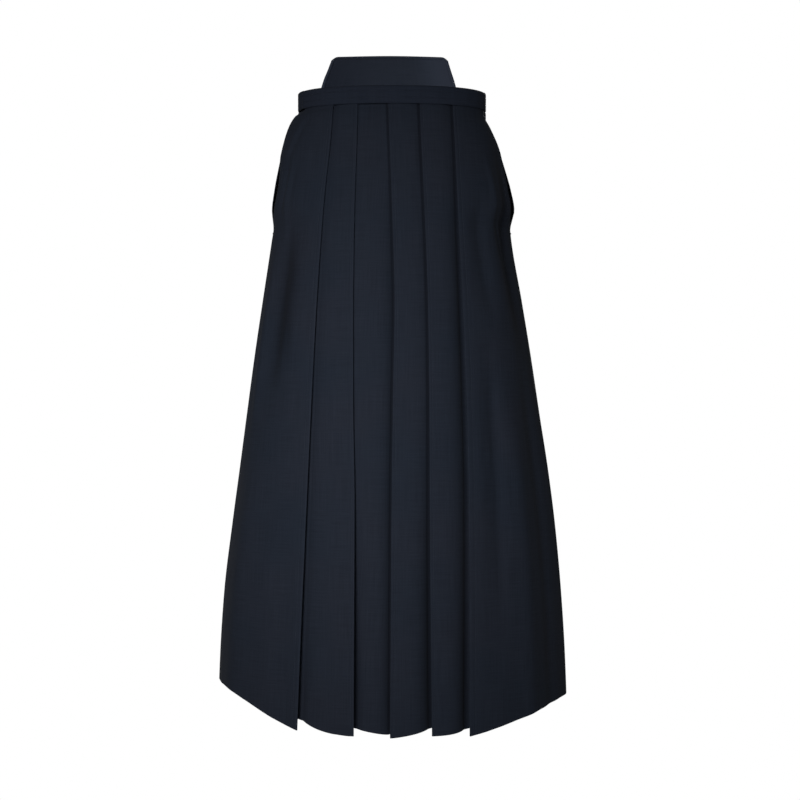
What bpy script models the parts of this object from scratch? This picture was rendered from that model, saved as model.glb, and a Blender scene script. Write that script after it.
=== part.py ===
"""Pleated hakama trousers, filled out as worn, built as separate walls of cloth.

Units are metres, +Z is up and the front faces -Y. Left and right in the names are the
wearer's, so the right leg is on the -X side. The origin is the middle of the waist.
"""
import math
from typing import Callable, NamedTuple

import bpy
from mathutils import Vector

# Thicknesses and clearances
CLOTH = 0.0011
BAND_PLY = 0.0015
BAND_DEPTH = 0.0087
FRONT_TIE_THICKNESS = 0.0040
BACK_TIE_THICKNESS = 0.0030
BOARD_THICKNESS = 0.0050
BACK_BAND_THICKNESS = 0.0018
SEAM_GAP = 0.0003
END_GAP = 0.00045

# Heights from the middle of the waistband
BAND_HALF_HEIGHT = 0.014
FRONT_TOP = 0.0122
BACK_TOP = -0.008
BACK_TIE_TOP = -0.015
BACK_TIE_BOTTOM = -0.040
BOARD_BOTTOM = -0.030
BOARD_TOP = 0.092
BACK_BAND_TOP = 0.006
BACK_BAND_BOTTOM = -0.016
SLIT_BOTTOM = -0.196
CROTCH = -0.480
GUSSET_BOTTOM = -0.560
HEM = -0.940

# The rounded form of each level ring: 2 is an ellipse, more is squarer
ROUNDNESS = 2.2

# The ring of cloth at each height: half-width at the right leg and at the left leg, then
# the depth in front and behind.
RING = (
    # height, right, left, front, back
    (0.014, 0.1435, 0.1435, 0.0930, 0.0930),
    (-0.016, 0.1435, 0.1435, 0.0930, 0.0930),
    (-0.024, 0.1485, 0.1445, 0.0960, 0.0965),
    (-0.041, 0.1605, 0.1515, 0.1020, 0.1040),
    (-0.072, 0.1705, 0.1655, 0.1090, 0.1140),
    (-0.103, 0.1765, 0.1745, 0.1160, 0.1230),
    (-0.134, 0.1815, 0.1825, 0.1220, 0.1310),
    (-0.165, 0.1855, 0.1875, 0.1285, 0.1380),
    (-0.181, 0.1842, 0.1842, 0.1315, 0.1410),
    (-0.196, 0.1820, 0.1820, 0.1345, 0.1440),
    (-0.212, 0.1845, 0.1830, 0.1370, 0.1465),
    (-0.305, 0.1995, 0.1995, 0.1510, 0.1610),
    (-0.390, 0.2120, 0.2135, 0.1640, 0.1740),
    (-0.480, 0.2240, 0.2275, 0.1775, 0.1870),
    (-0.560, 0.2345, 0.2395, 0.1880, 0.1980),
    (-0.650, 0.2465, 0.2510, 0.1990, 0.2090),
    (-0.750, 0.2585, 0.2600, 0.2110, 0.2200),
    (-0.840, 0.2645, 0.2655, 0.2210, 0.2290),
    (-0.950, 0.2685, 0.2695, 0.2300, 0.2370),
)

# Side edges of the front panels above the slit's bottom, as shares of the half-width
FRONT_EDGE = (
    # height, right, left
    (0.014, 0.925, 0.985),
    (-0.016, 0.925, 0.985),
    (-0.041, 0.900, 0.990),
    (-0.072, 0.935, 0.990),
    (-0.103, 0.962, 0.985),
    (-0.134, 0.972, 0.983),
    (-0.165, 0.986, 0.985),
    (-0.181, 0.994, 0.991),
    (SLIT_BOTTOM, 1.000, 1.000),
)

# Side edges of the back panels, as degrees round the ring from the front centre
BACK_EDGE = (
    # height, degrees
    (BACK_TOP, 122.0),
    (-0.024, 108.0),
    (-0.041, 100.0),
    (-0.072, 96.0),
    (-0.103, 94.0),
    (-0.134, 93.0),
    (-0.165, 92.0),
    (SLIT_BOTTOM, 90.0),
)

# Where the five front fold edges run, across from the centre line
FOLDS = (
    # height, A, B, C, D, E
    (0.014, -0.0885, -0.0520, -0.0065, 0.0420, 0.0915),
    (-0.020, -0.0895, -0.0520, -0.0055, 0.0425, 0.0930),
    (-0.180, -0.1035, -0.0560, 0.0005, 0.0490, 0.0995),
    (-0.320, -0.1125, -0.0575, 0.0040, 0.0535, 0.1060),
    (-0.460, -0.1190, -0.0570, 0.0015, 0.0550, 0.1105),
    (-0.620, -0.1255, -0.0545, -0.0005, 0.0553, 0.1128),
    (HEM, -0.1360, -0.0550, -0.0025, 0.0574, 0.1114),
)
FOLD_A, FOLD_B, FOLD_C, FOLD_D, FOLD_E = 1, 2, 3, 4, 5
BACK_FOLD = 0

# Each pleat's hem height at its fold edge, and on the panel below beside that edge
PLEAT_HEMS = {
    # fold: at the fold edge, on the panel below
    FOLD_A: (-0.937, -0.919),
    FOLD_B: (-0.942, -0.932),
    FOLD_C: (-0.944, -0.940),
    FOLD_D: (-0.942, -0.931),
    FOLD_E: (-0.944, -0.933),
}
RIGHT_CORNER_HEM = -0.890
LEFT_CORNER_HEM = -0.910
BACK_CENTRE_HEM = -0.926
BACK_TUCK_HEM = -0.920
CENTRE_SEAM_HEM = -0.932

# How a hem curves across a panel: 1 is straight, more is flat at first, then steeper
CORNER_CURVE = 2.5
PANEL_CURVE = 1.9
PANEL_4_CURVE = 1.2

# Pleats: how far they reach under, and the spacing of their layers, at waist and hem
PLEAT_REACH_WAIST = 0.025
PLEAT_REACH_HEM = 0.040
LAYER_WAIST = 0.0017
LAYER_HEM = 0.0040
FOLD_RADIUS = 0.00085
FOLD_LIP = 0.003
BACK_FOLD_X = 0.004

# One pleat's path from the panel on top, round its fold edge and the hidden fold, to the
# panel below: the way under in reaches, fold radii and layers, then the way in.
PLEAT_PATH = (
    # reaches, radii and layers under; layers and radii in
    (0.0, 1.0, 0.0, 0.0, 0.0),
    (0.0, 0.0, 0.0, 0.0, 1.0),
    (0.0, 1.0, 0.0, 0.0, 2.0),
    (0.5, 0.0, 0.0, 0.5, 1.0),
    (1.0, 0.0, -0.5, 1.0, 0.0),
    (1.0, 0.0, 0.0, 1.5, 0.0),
    (1.0, 0.0, -0.5, 2.0, 0.0),
    (0.5, 0.0, 0.0, 2.0, 0.0),
    (0.0, 0.0, 0.0, 2.0, 0.0),
)
FOLD_EDGE_ROWS = 3
BELOW_ROW = 8

# The fold edge that the panel on top of each pleat runs to, where it sinks under it
NEXT_FOLD = {FOLD_B: FOLD_A, FOLD_C: FOLD_D, FOLD_D: FOLD_E}

# The split between the legs
LEG_SPLIT_CROTCH = 0.006
LEG_SPLIT_HEM = 0.014
SEAM_ALLOWANCE = 0.002
WALL_WAVE = 0.007
WALL_COLUMNS = 9
INNER_HEM_LIFT = 0.004
GUSSET_ARC_STEPS = 4

# Waistband and ties, as degrees round the ring from the front centre
BAND_RIGHT_END = -69.0
BAND_LEFT_END = 80.0
BAND_STEPS = 40
TIE_STEPS = 26
TIE_BACK_END = 171.0
BACK_TIE_STEPS = 24
FRONT_TIE_INSET = (
    # degrees, inset of its middle
    (60.0, -0.00035),
    (92.0, -0.00035),
    (116.0, 0.0134),
    (180.0, 0.0134),
)
BACK_TIE_INSET = (
    # degrees, inset of its middle
    (81.0, 0.0028),
    (89.0, -0.0006),
    (94.0, -0.0006),
    (104.0, 0.0030),
    (117.0, 0.0126),
    (180.0, 0.0126),
)
BACK_TIE_RIGHT_END = 56.0
BACK_TIE_LEFT_END = 61.0
BACK_TIE_ROOT = 132.0

# The stiff board at the back waist, across from the centre line
BOARD_INSET = 0.0075
BOARD_LEAN = 0.003
BOARD_RIGHT_BASE = -0.124
BOARD_LEFT_BASE = 0.112
BOARD_RIGHT_TOP = -0.091
BOARD_LEFT_TOP = 0.086
BOARD_CROWN = 0.005
BOARD_CORNER_START = 0.80
BOARD_CORNER_DROP = 0.011
BOARD_COLUMNS = 29
BOARD_ROWS = 7
BACK_BAND_HALF_TURN = 56.0
BACK_BAND_STEPS = 24

# Knot of the front ties and the bar tacks at the slits
KNOT_WIDTH = 0.036
KNOT_HEIGHT = 0.034
KNOT_DEPTH = 0.011
KNOT_INSET = 0.0172
TACK_LENGTH = 0.010
TACK_WIDTH = 0.0022
TACK_DEPTH = 0.0010

COLOURS = {
    "navy_cloth": (0.0137, 0.0168, 0.0262),
    "navy_band": (0.0160, 0.0194, 0.0296),
    "navy_board": (0.0185, 0.0220, 0.0320),
}


class Station(NamedTuple):
    """One upright line of a cloth wall."""
    turn: Callable[[float], float]
    inset: Callable[[float], float]
    hem: float


def blend(first, second, share):
    return first + (second - first) * share


def at_height(table, column, height):
    """Value of a table's column at a height, read along straight lines between rows."""
    if height >= table[0][0]:
        return table[0][column]
    for upper, lower in zip(table, table[1:]):
        if height >= lower[0]:
            share = (upper[0] - height) / (upper[0] - lower[0])
            return blend(upper[column], lower[column], share)
    return table[-1][column]


def at_degrees(table, degrees):
    """Inset that a short table gives at an angle round the ring."""
    if degrees <= table[0][0]:
        return table[0][1]
    for near, far in zip(table, table[1:]):
        if degrees <= far[0]:
            share = (degrees - near[0]) / (far[0] - near[0])
            eased = share * share * (3.0 - 2.0 * share)
            return blend(near[1], far[1], eased)
    return table[-1][1]


def share_down(height):
    """0 at the waistband and 1 at the hem."""
    return min(1.0, max(0.0, height / HEM))


def pleat_reach(height):
    return blend(PLEAT_REACH_WAIST, PLEAT_REACH_HEM, share_down(height))


def layer(height):
    return blend(LAYER_WAIST, LAYER_HEM, share_down(height))


def half_width(side, height):
    """Half-width of the ring on the side whose x has this sign."""
    return at_height(RING, 2 if side > 0.0 else 1, height)


def ring_point(turn, height, inset=0.0):
    """Point at an angle from the front centre, moved inward square to the ring."""
    wide = half_width(math.sin(turn), height)
    deep = at_height(RING, 3 if math.cos(turn) >= 0.0 else 4, height)
    across = math.copysign(abs(math.sin(turn)) ** (2.0 / ROUNDNESS), math.sin(turn))
    along = -math.copysign(abs(math.cos(turn)) ** (2.0 / ROUNDNESS), math.cos(turn))
    slope_x = math.copysign(abs(across) ** (ROUNDNESS - 1.0), across) / wide
    slope_y = math.copysign(abs(along) ** (ROUNDNESS - 1.0), along) / deep
    outward = Vector((slope_x, slope_y)).normalized()
    return Vector((wide * across - inset * outward.x, deep * along - inset * outward.y, height))


def turn_at(x, height, behind=False):
    """Angle round the ring at which it passes a given x, up to 270 degrees behind."""
    share = min(1.0, abs(x) / half_width(x, height))
    turn = math.copysign(math.asin(share ** (ROUNDNESS / 2.0)), x)
    return math.pi - turn if behind else turn


def seam_turn(side, height, behind):
    """Angle of a side seam's edge, half a seam gap from the middle of the ring."""
    deep = at_height(RING, 4 if behind else 3, height)
    offset = math.asin((0.5 * SEAM_GAP / deep) ** (ROUNDNESS / 2.0))
    if behind:
        return math.pi - side * (math.pi / 2 - offset)
    return side * (math.pi / 2 - offset)


def front_edge_station(side, hem):
    """Side edge of a front panel: along the slit, then down the side seam."""
    def turn(height):
        if height <= SLIT_BOTTOM + 1e-6:
            return seam_turn(side, height, False)
        share = at_height(FRONT_EDGE, 1 if side < 0 else 2, height)
        return turn_at(side * share * half_width(side, height), height)
    return Station(turn, lambda height: 0.0, hem)


def back_edge_station(side, hem):
    """Side edge of a back panel, from the board's base corner down to the side seam."""
    def turn(height):
        if height <= SLIT_BOTTOM + 1e-6:
            return seam_turn(side, height, True)
        return math.pi - side * math.radians(180.0 - at_height(BACK_EDGE, 1, height))
    return Station(turn, lambda height: 0.0, hem)


def fold_x(fold, height):
    """Where a fold edge runs: one of the front ones, or the centre back's."""
    return BACK_FOLD_X if fold == BACK_FOLD else at_height(FOLDS, fold, height)


def top_slope(fold, height):
    """How much the panel on top of a pleat sinks for each metre away from its fold edge."""
    if fold not in NEXT_FOLD:
        return 0.0
    width = abs(fold_x(fold, height) - fold_x(NEXT_FOLD[fold], height)) - FOLD_LIP
    return 2.0 * layer(height) / width


def pleat_station(fold, under, row, hem):
    """One line of a pleat. Under is the way in which it tucks."""
    reaches, radii, layers, layers_in, radii_in = PLEAT_PATH[row]

    def way(height):
        if row == BELOW_ROW:
            return -FOLD_LIP
        return reaches * pleat_reach(height) + radii * FOLD_RADIUS + layers * layer(height)

    def turn(height):
        return turn_at(fold_x(fold, height) + under * way(height), height, fold == BACK_FOLD)

    def inset(height):
        sunk = top_slope(fold, height) * max(0.0, way(height))
        return layers_in * layer(height) + radii_in * FOLD_RADIUS + sunk

    return Station(turn, inset, hem)


def pleat(fold, under):
    """The whole pleat behind a front fold edge, from the panel on top to the one below."""
    fold_hem, below_hem = PLEAT_HEMS[fold]
    hidden_hem = below_hem + 0.002
    stations = []
    for row in range(len(PLEAT_PATH)):
        hem = hidden_hem
        if row < FOLD_EDGE_ROWS:
            hem = fold_hem
        if row == BELOW_ROW:
            hem = below_hem
        stations.append(pleat_station(fold, under, row, hem))
    return stations


def between(first, second, steps, curve=1.0):
    """Lines that divide the panel between two stations, with the hem's curve."""
    stations = []
    for step in range(1, steps):
        share = step / steps

        def turn(height, share=share):
            return blend(first.turn(height), second.turn(height), share)

        def inset(height, share=share):
            return blend(first.inset(height), second.inset(height), share)

        hem = blend(first.hem, second.hem, share ** curve)
        stations.append(Station(turn, inset, hem))
    return stations


def between_reversed(first, second, steps, curve):
    """The same, where the hem is flat beside the second station."""
    return between(second, first, steps, curve)[::-1]


def leg_split(height):
    """Distance between the two inner leg walls."""
    if height >= GUSSET_BOTTOM:
        return LEG_SPLIT_CROTCH
    share = (height - GUSSET_BOTTOM) / (HEM - GUSSET_BOTTOM)
    return blend(LEG_SPLIT_CROTCH, LEG_SPLIT_HEM, min(1.0, share))


def tail_inset(height):
    """Depth of the inner ply at a centre seam: against the outer ply, freer at the hem."""
    seamed = layer(height) + CLOTH + SEAM_GAP
    if height >= GUSSET_BOTTOM:
        return seamed
    share = min(1.0, (height - GUSSET_BOTTOM) / (HEM - GUSSET_BOTTOM))
    return blend(seamed, 2.0 * layer(height), share)


def centre_ply(fold, past, inner_ply, height):
    """Angle and inset of a centre pleat's ply, past metres beyond the pleat's reach."""
    under = -1.0 if fold == BACK_FOLD else 1.0
    way = pleat_reach(height) + past
    turn = turn_at(fold_x(fold, height) + under * way, height, fold == BACK_FOLD)
    ply = tail_inset(height) if inner_ply else layer(height)
    return turn, ply + top_slope(fold, height) * way


def seam_station(fold, inner_ply, hem):
    """Edge of a centre seam. The inner ply ends beside the outer one."""
    def past(height):
        return (-0.5 if inner_ply else 0.5) * leg_split(height) + SEAM_ALLOWANCE

    return Station(
        lambda height: centre_ply(fold, past(height), inner_ply, height)[0],
        lambda height: centre_ply(fold, past(height), inner_ply, height)[1],
        hem)


def offset_line(line, distance):
    """Level line moved sideways by a distance, with mitred corners."""
    moved = []
    for number, point in enumerate(line):
        before = line[max(0, number - 1)]
        after = line[min(len(line) - 1, number + 1)]
        sides = []
        for start, end in ((before, point), (point, after)):
            run = Vector((end.x - start.x, end.y - start.y))
            if run.length > 1e-9:
                run.normalize()
                sides.append(Vector((run.y, -run.x)))
        middle = sum(sides, Vector((0.0, 0.0))).normalized()
        reach = distance / max(0.6, middle.dot(sides[0]))
        moved.append(Vector((point.x + reach * middle.x, point.y + reach * middle.y, point.z)))
    return moved


def new_material(name, colour, roughness):
    material = bpy.data.materials.new(name)
    material.use_nodes = True
    shader = material.node_tree.nodes["Principled BSDF"]
    shader.inputs["Base Color"].default_value = (*COLOURS[colour], 1.0)
    shader.inputs["Roughness"].default_value = roughness
    shader.inputs["Metallic"].default_value = 0.0
    return material


def add_object(name, points, faces, colour, roughness=0.85):
    mesh = bpy.data.meshes.new(name)
    mesh.from_pydata([tuple(point) for point in points], [], faces)
    mesh.update()
    mesh.materials.append(new_material(name, colour, roughness))
    mesh.shade_smooth()
    mesh.set_sharp_from_angle(angle=math.radians(40.0))
    thing = bpy.data.objects.new(name, mesh)
    bpy.context.collection.objects.link(thing)
    return thing


def add_wall(name, rows, colour, thickness=CLOTH):
    """Closed wall of cloth on both sides of rows of points, top row first."""
    wide = len(rows[0])
    outer = [offset_line(row, 0.5 * thickness) for row in rows]
    inner = [offset_line(row, -0.5 * thickness) for row in rows]
    points = [point for skin in (outer, inner) for row in skin for point in row]
    back = len(rows) * wide
    faces = []
    for row in range(len(rows) - 1):
        for column in range(wide - 1):
            a = row * wide + column
            b, c, d = a + 1, a + wide + 1, a + wide
            faces.append((a, d, c, b))
            faces.append((back + a, back + b, back + c, back + d))
    for column in range(wide - 1):
        top = column
        low = (len(rows) - 1) * wide + column
        faces.append((top, top + 1, back + top + 1, back + top))
        faces.append((low + 1, low, back + low, back + low + 1))
    for row in range(len(rows) - 1):
        near = row * wide
        far = near + wide - 1
        faces.append((near + wide, near, back + near, back + near + wide))
        faces.append((far, far + wide, back + far + wide, back + far))
    return add_object(name, points, faces, colour)


def add_sweep(name, sections, colour):
    """Closed body through equal loops of points, capped at both ends."""
    count = len(sections[0])
    points = [point for section in sections for point in section]
    faces = []
    for row in range(len(sections) - 1):
        for corner in range(count):
            a = row * count + corner
            b = row * count + (corner + 1) % count
            faces.append((a, b, b + count, a + count))
    last = (len(sections) - 1) * count
    faces.append(tuple(reversed(range(count))))
    faces.append(tuple(range(last, last + count)))
    return add_object(name, points, faces, colour)


def wall_rows(stations, top):
    """Rows of points down a panel: one at each ring height below its top, then the hem."""
    lowest = max(station.hem for station in stations)
    heights = [top] + [row[0] for row in RING if lowest + 0.03 < row[0] < top - 0.004]
    rows = []
    for height in heights:
        rows.append([ring_point(s.turn(height), height, s.inset(height)) for s in stations])
    rows.append([ring_point(s.turn(s.hem), s.hem, s.inset(s.hem)) for s in stations])
    return rows


def front_right_leg():
    """Panels 1 to 3: two pleats that tuck towards the side, then the centre seam's ply."""
    edge = front_edge_station(-1, RIGHT_CORNER_HEM)
    pleat_a = pleat(FOLD_A, -1)
    pleat_b = pleat(FOLD_B, -1)
    below_c = pleat_station(FOLD_C, 1, BELOW_ROW, PLEAT_HEMS[FOLD_C][1])
    seam = seam_station(FOLD_C, True, CENTRE_SEAM_HEM)
    stations = [edge] + between(edge, pleat_a[0], 8, CORNER_CURVE) + pleat_a
    stations += between_reversed(pleat_a[-1], pleat_b[0], 4, PANEL_CURVE) + pleat_b
    stations += between_reversed(pleat_b[-1], below_c, 3, PANEL_CURVE) + [below_c]
    stations += between(below_c, seam, 3) + [seam]
    add_wall("front_right_leg", wall_rows(stations, FRONT_TOP), "navy_cloth")


def front_left_leg():
    """Panels 4 to 6: the centre fold and two pleats, all tucked towards the left side."""
    fold_hem = PLEAT_HEMS[FOLD_C][0]
    seam = seam_station(FOLD_C, False, CENTRE_SEAM_HEM)
    rows = range(FOLD_EDGE_ROWS)
    centre = [pleat_station(FOLD_C, 1, row, fold_hem) for row in reversed(rows)]
    pleat_d = list(reversed(pleat(FOLD_D, 1)))
    pleat_e = list(reversed(pleat(FOLD_E, 1)))
    edge = front_edge_station(1, LEFT_CORNER_HEM)
    stations = [seam] + between(seam, centre[0], 3) + centre
    stations += between(centre[-1], pleat_d[0], 3, PANEL_4_CURVE) + pleat_d
    stations += between(pleat_d[-1], pleat_e[0], 3, PANEL_CURVE) + pleat_e
    stations += between_reversed(pleat_e[-1], edge, 8, CORNER_CURVE) + [edge]
    add_wall("front_left_leg", wall_rows(stations, FRONT_TOP), "navy_cloth")


def back_legs():
    """Back panels: the right one folds under at the centre back, over the left one."""
    right_edge = back_edge_station(-1, RIGHT_CORNER_HEM)
    left_edge = back_edge_station(1, LEFT_CORNER_HEM)
    fold = [pleat_station(BACK_FOLD, -1, row, BACK_CENTRE_HEM) for row in range(FOLD_EDGE_ROWS)]
    seam = seam_station(BACK_FOLD, False, BACK_CENTRE_HEM)
    right = [seam] + between(seam, fold[-1], 3) + list(reversed(fold)) + between(fold[0], right_edge, 9) + [right_edge]
    add_wall("back_right_leg", wall_rows(right, BACK_TOP), "navy_cloth")

    below = pleat_station(BACK_FOLD, -1, BELOW_ROW, BACK_TUCK_HEM)
    inner = seam_station(BACK_FOLD, True, BACK_TUCK_HEM)
    left = [left_edge] + between(left_edge, below, 9) + [below]
    left += between(below, inner, 3) + [inner]
    add_wall("back_left_leg", wall_rows(left, BACK_TOP), "navy_cloth")


def split_point(share, offset, height):
    """Point of an inner leg wall: share runs from the front seam to the back seam."""
    turn, cover = centre_ply(FOLD_C, offset, offset <= 0.0, height)
    front = ring_point(turn, height, cover + 0.5 * CLOTH + END_GAP)
    turn, cover = centre_ply(BACK_FOLD, -offset, offset >= 0.0, height)
    back = ring_point(turn, height, cover + 0.5 * CLOTH + END_GAP)
    point = front.lerp(back, share)
    point.x += WALL_WAVE * math.sin(2.0 * math.pi * share) * share_down(height)
    return point


def inner_leg(name, side):
    """Inner wall of one leg, from the gusset to the hem."""
    heights = [GUSSET_BOTTOM - SEAM_GAP]
    heights += [row[0] for row in RING if RIGHT_CORNER_HEM < row[0] < GUSSET_BOTTOM]
    shares = [column / (WALL_COLUMNS - 1) for column in range(WALL_COLUMNS)]
    rows = []
    for height in heights:
        offset = 0.5 * side * leg_split(height)
        rows.append([split_point(share, offset, height) for share in shares])
    hem_row = []
    for share in shares:
        height = blend(CENTRE_SEAM_HEM, BACK_TUCK_HEM, share) + INNER_HEM_LIFT
        offset = 0.5 * side * leg_split(height)
        hem_row.append(split_point(share, offset, height))
    rows.append(hem_row)
    add_wall(name, rows, "navy_cloth")


def gusset():
    """Strip of cloth over the top of the split, with a side down each inner leg."""
    middle = 0.5 * LEG_SPLIT_CROTCH
    outer = middle + 0.5 * CLOTH
    inner = middle - 0.5 * CLOTH
    centre = CROTCH - outer
    outline = [(-outer, GUSSET_BOTTOM)]
    for radius, order in ((outer, 1), (inner, -1)):
        arc = [math.pi - math.pi * step / GUSSET_ARC_STEPS for step in range(GUSSET_ARC_STEPS + 1)]
        for angle in arc[::order]:
            offset = round(radius * math.cos(angle), 6)
            outline.append((offset, centre + radius * math.sin(angle)))
        if order == 1:
            outline += [(outer, GUSSET_BOTTOM), (inner, GUSSET_BOTTOM)]
    outline.append((-inner, GUSSET_BOTTOM))
    sections = []
    for column in range(WALL_COLUMNS):
        share = column / (WALL_COLUMNS - 1)
        sections.append([split_point(share, offset, height) for offset, height in outline])
    add_sweep("gusset", sections, "navy_cloth")


def ring_sweep(name, turns, profile, colour):
    """Strip round the waist. Profile gives its (inset, height) corners at an angle."""
    sections = []
    for turn in turns:
        section = []
        for inset, height in profile(turn):
            level = ring_point(turn, 0.0, inset)
            section.append(Vector((level.x, level.y, height)))
        sections.append(section)
    add_sweep(name, sections, colour)


def spread(first, last, steps):
    return [math.radians(blend(first, last, step / steps)) for step in range(steps + 1)]


def front_waistband():
    """Folded band that holds the top of the pleated front between its two plies."""
    slot_outer = -(0.5 * CLOTH + SEAM_GAP)
    slot_inner = BAND_DEPTH - BAND_PLY
    outer = slot_outer - BAND_PLY
    inner = BAND_DEPTH
    high, low = BAND_HALF_HEIGHT, -BAND_HALF_HEIGHT
    soft = 0.5 * BAND_PLY
    corners = [
        (outer, low), (slot_outer, low), (slot_outer, high - BAND_PLY),
        (slot_inner, high - BAND_PLY), (slot_inner, low), (inner, low),
        (inner, high - soft), (inner - soft, high), (outer + soft, high), (outer, high - soft),
    ]
    turns = spread(BAND_RIGHT_END, BAND_LEFT_END, BAND_STEPS)
    ring_sweep("front_waistband", turns, lambda turn: corners, "navy_band")


def strip_profile(table, thickness, low, high):
    """Corners of a flat strip whose inset a table gives, with softened edges."""
    soft = 0.3 * thickness

    def profile(turn):
        middle = at_degrees(table, math.degrees(abs(turn)))
        outer, inner = middle - 0.5 * thickness, middle + 0.5 * thickness
        corners = [
            (outer, low + soft), (outer + soft, low), (inner - soft, low), (inner, low + soft),
            (inner, high - soft), (inner - soft, high), (outer + soft, high), (outer, high - soft),
        ]
        return corners
    return profile


def front_ties():
    """The band's own strips, carried on round both sides to the knot at the centre back."""
    profile = strip_profile(
        FRONT_TIE_INSET, FRONT_TIE_THICKNESS, -BAND_HALF_HEIGHT, BAND_HALF_HEIGHT)
    gap = math.degrees(SEAM_GAP / RING[0][1])
    right = spread(-TIE_BACK_END, BAND_RIGHT_END - gap, TIE_STEPS)
    left = spread(BAND_LEFT_END + gap, TIE_BACK_END, TIE_STEPS)
    ring_sweep("front_tie_right", right, profile, "navy_band")
    ring_sweep("front_tie_left", left, profile, "navy_band")


def back_ties():
    """Strips from the board's base corners, tucked in behind the front panels' corners."""
    profile = strip_profile(BACK_TIE_INSET, BACK_TIE_THICKNESS, BACK_TIE_BOTTOM, BACK_TIE_TOP)
    right = spread(-BACK_TIE_ROOT, -BACK_TIE_RIGHT_END, BACK_TIE_STEPS)
    left = spread(BACK_TIE_LEFT_END, BACK_TIE_ROOT, BACK_TIE_STEPS)
    ring_sweep("back_tie_right", right, profile, "navy_band")
    ring_sweep("back_tie_left", left, profile, "navy_band")


def board_top(across):
    """Height of the board's top edge, from -1 at its right corner to 1 at its left one."""
    past = max(0.0, abs(across) - BOARD_CORNER_START) / (1.0 - BOARD_CORNER_START)
    return BOARD_TOP - BOARD_CROWN * across ** 2 - BOARD_CORNER_DROP * past ** 2.5


def koshiita():
    """Stiff cloth-covered board at the back waist, narrower at the top."""
    rows = []
    for row in range(BOARD_ROWS):
        up = 1.0 - row / (BOARD_ROWS - 1)
        line = []
        for column in range(BOARD_COLUMNS):
            across = 1.0 - 2.0 * column / (BOARD_COLUMNS - 1)
            height = blend(BOARD_BOTTOM, board_top(across), up)
            level = (height - BOARD_BOTTOM) / (BOARD_TOP - BOARD_BOTTOM)
            right = blend(BOARD_RIGHT_BASE, BOARD_RIGHT_TOP, level)
            left = blend(BOARD_LEFT_BASE, BOARD_LEFT_TOP, level)
            x = blend(right, left, 0.5 + 0.5 * across)
            point = ring_point(turn_at(x, 0.0, True), 0.0, BOARD_INSET + BOARD_LEAN * level)
            line.append(Vector((point.x, point.y, height)))
        rows.append(line)
    add_wall("koshiita", rows, "navy_board", BOARD_THICKNESS)


def back_waistband():
    """Flat strip that covers the seam between the back panels and the board's base."""
    middle = -(0.5 * CLOTH + SEAM_GAP + 0.5 * BACK_BAND_THICKNESS)
    table = ((0.0, middle), (180.0, middle))
    profile = strip_profile(table, BACK_BAND_THICKNESS, BACK_BAND_BOTTOM, BACK_BAND_TOP)
    turns = spread(180.0 - BACK_BAND_HALF_TURN, 180.0 + BACK_BAND_HALF_TURN, BACK_BAND_STEPS)
    ring_sweep("back_waistband", turns, profile, "navy_band")


def tie_knot():
    """Plain flat knot of the front ties, inside the board."""
    centre = ring_point(math.pi, 0.0, KNOT_INSET)
    half_x, half_y, half_z = 0.5 * KNOT_WIDTH, 0.5 * KNOT_DEPTH, 0.5 * KNOT_HEIGHT
    sections = []
    for level, size in ((-1.0, 0.80), (-0.8, 1.0), (0.8, 1.0), (1.0, 0.80)):
        section = []
        for step in range(16):
            angle = 2.0 * math.pi * step / 16
            across = math.copysign(abs(math.cos(angle)) ** 0.5, math.cos(angle))
            along = math.copysign(abs(math.sin(angle)) ** 0.5, math.sin(angle))
            offset = Vector((half_x * size * across, half_y * size * along, half_z * level))
            section.append(centre + offset)
        sections.append(section)
    add_sweep("front_tie_knot", sections, "navy_band")


def slit_tack(name, side):
    """Bar tack across the side seam, at the bottom of the slit."""
    height = SLIT_BOTTOM - 0.006
    wide = half_width(side, height) + 0.5 * CLOTH + SEAM_GAP
    sections = []
    for along in (-0.5, 0.5):
        section = []
        for out, up in ((0.0, -0.5), (1.0, -0.5), (1.0, 0.5), (0.0, 0.5)):
            x = side * (wide + out * TACK_DEPTH)
            section.append(Vector((x, along * TACK_LENGTH, height + up * TACK_WIDTH)))
        sections.append(section if side < 0 else section[::-1])
    add_sweep(name, sections, "navy_cloth")


def main():
    for thing in list(bpy.data.objects):
        bpy.data.objects.remove(thing)
    front_right_leg()
    front_left_leg()
    back_legs()
    inner_leg("inner_right_leg", -1)
    inner_leg("inner_left_leg", 1)
    gusset()
    front_waistband()
    front_ties()
    tie_knot()
    koshiita()
    back_waistband()
    back_ties()
    slit_tack("slit_tack_right", -1)
    slit_tack("slit_tack_left", 1)


main()
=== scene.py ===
"""Pleated hakama trousers in navy twill, filled out as worn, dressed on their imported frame.

Units are metres, +Z is up and the front faces -Y. Left and right are the wearer's.
"""
import math

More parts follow.
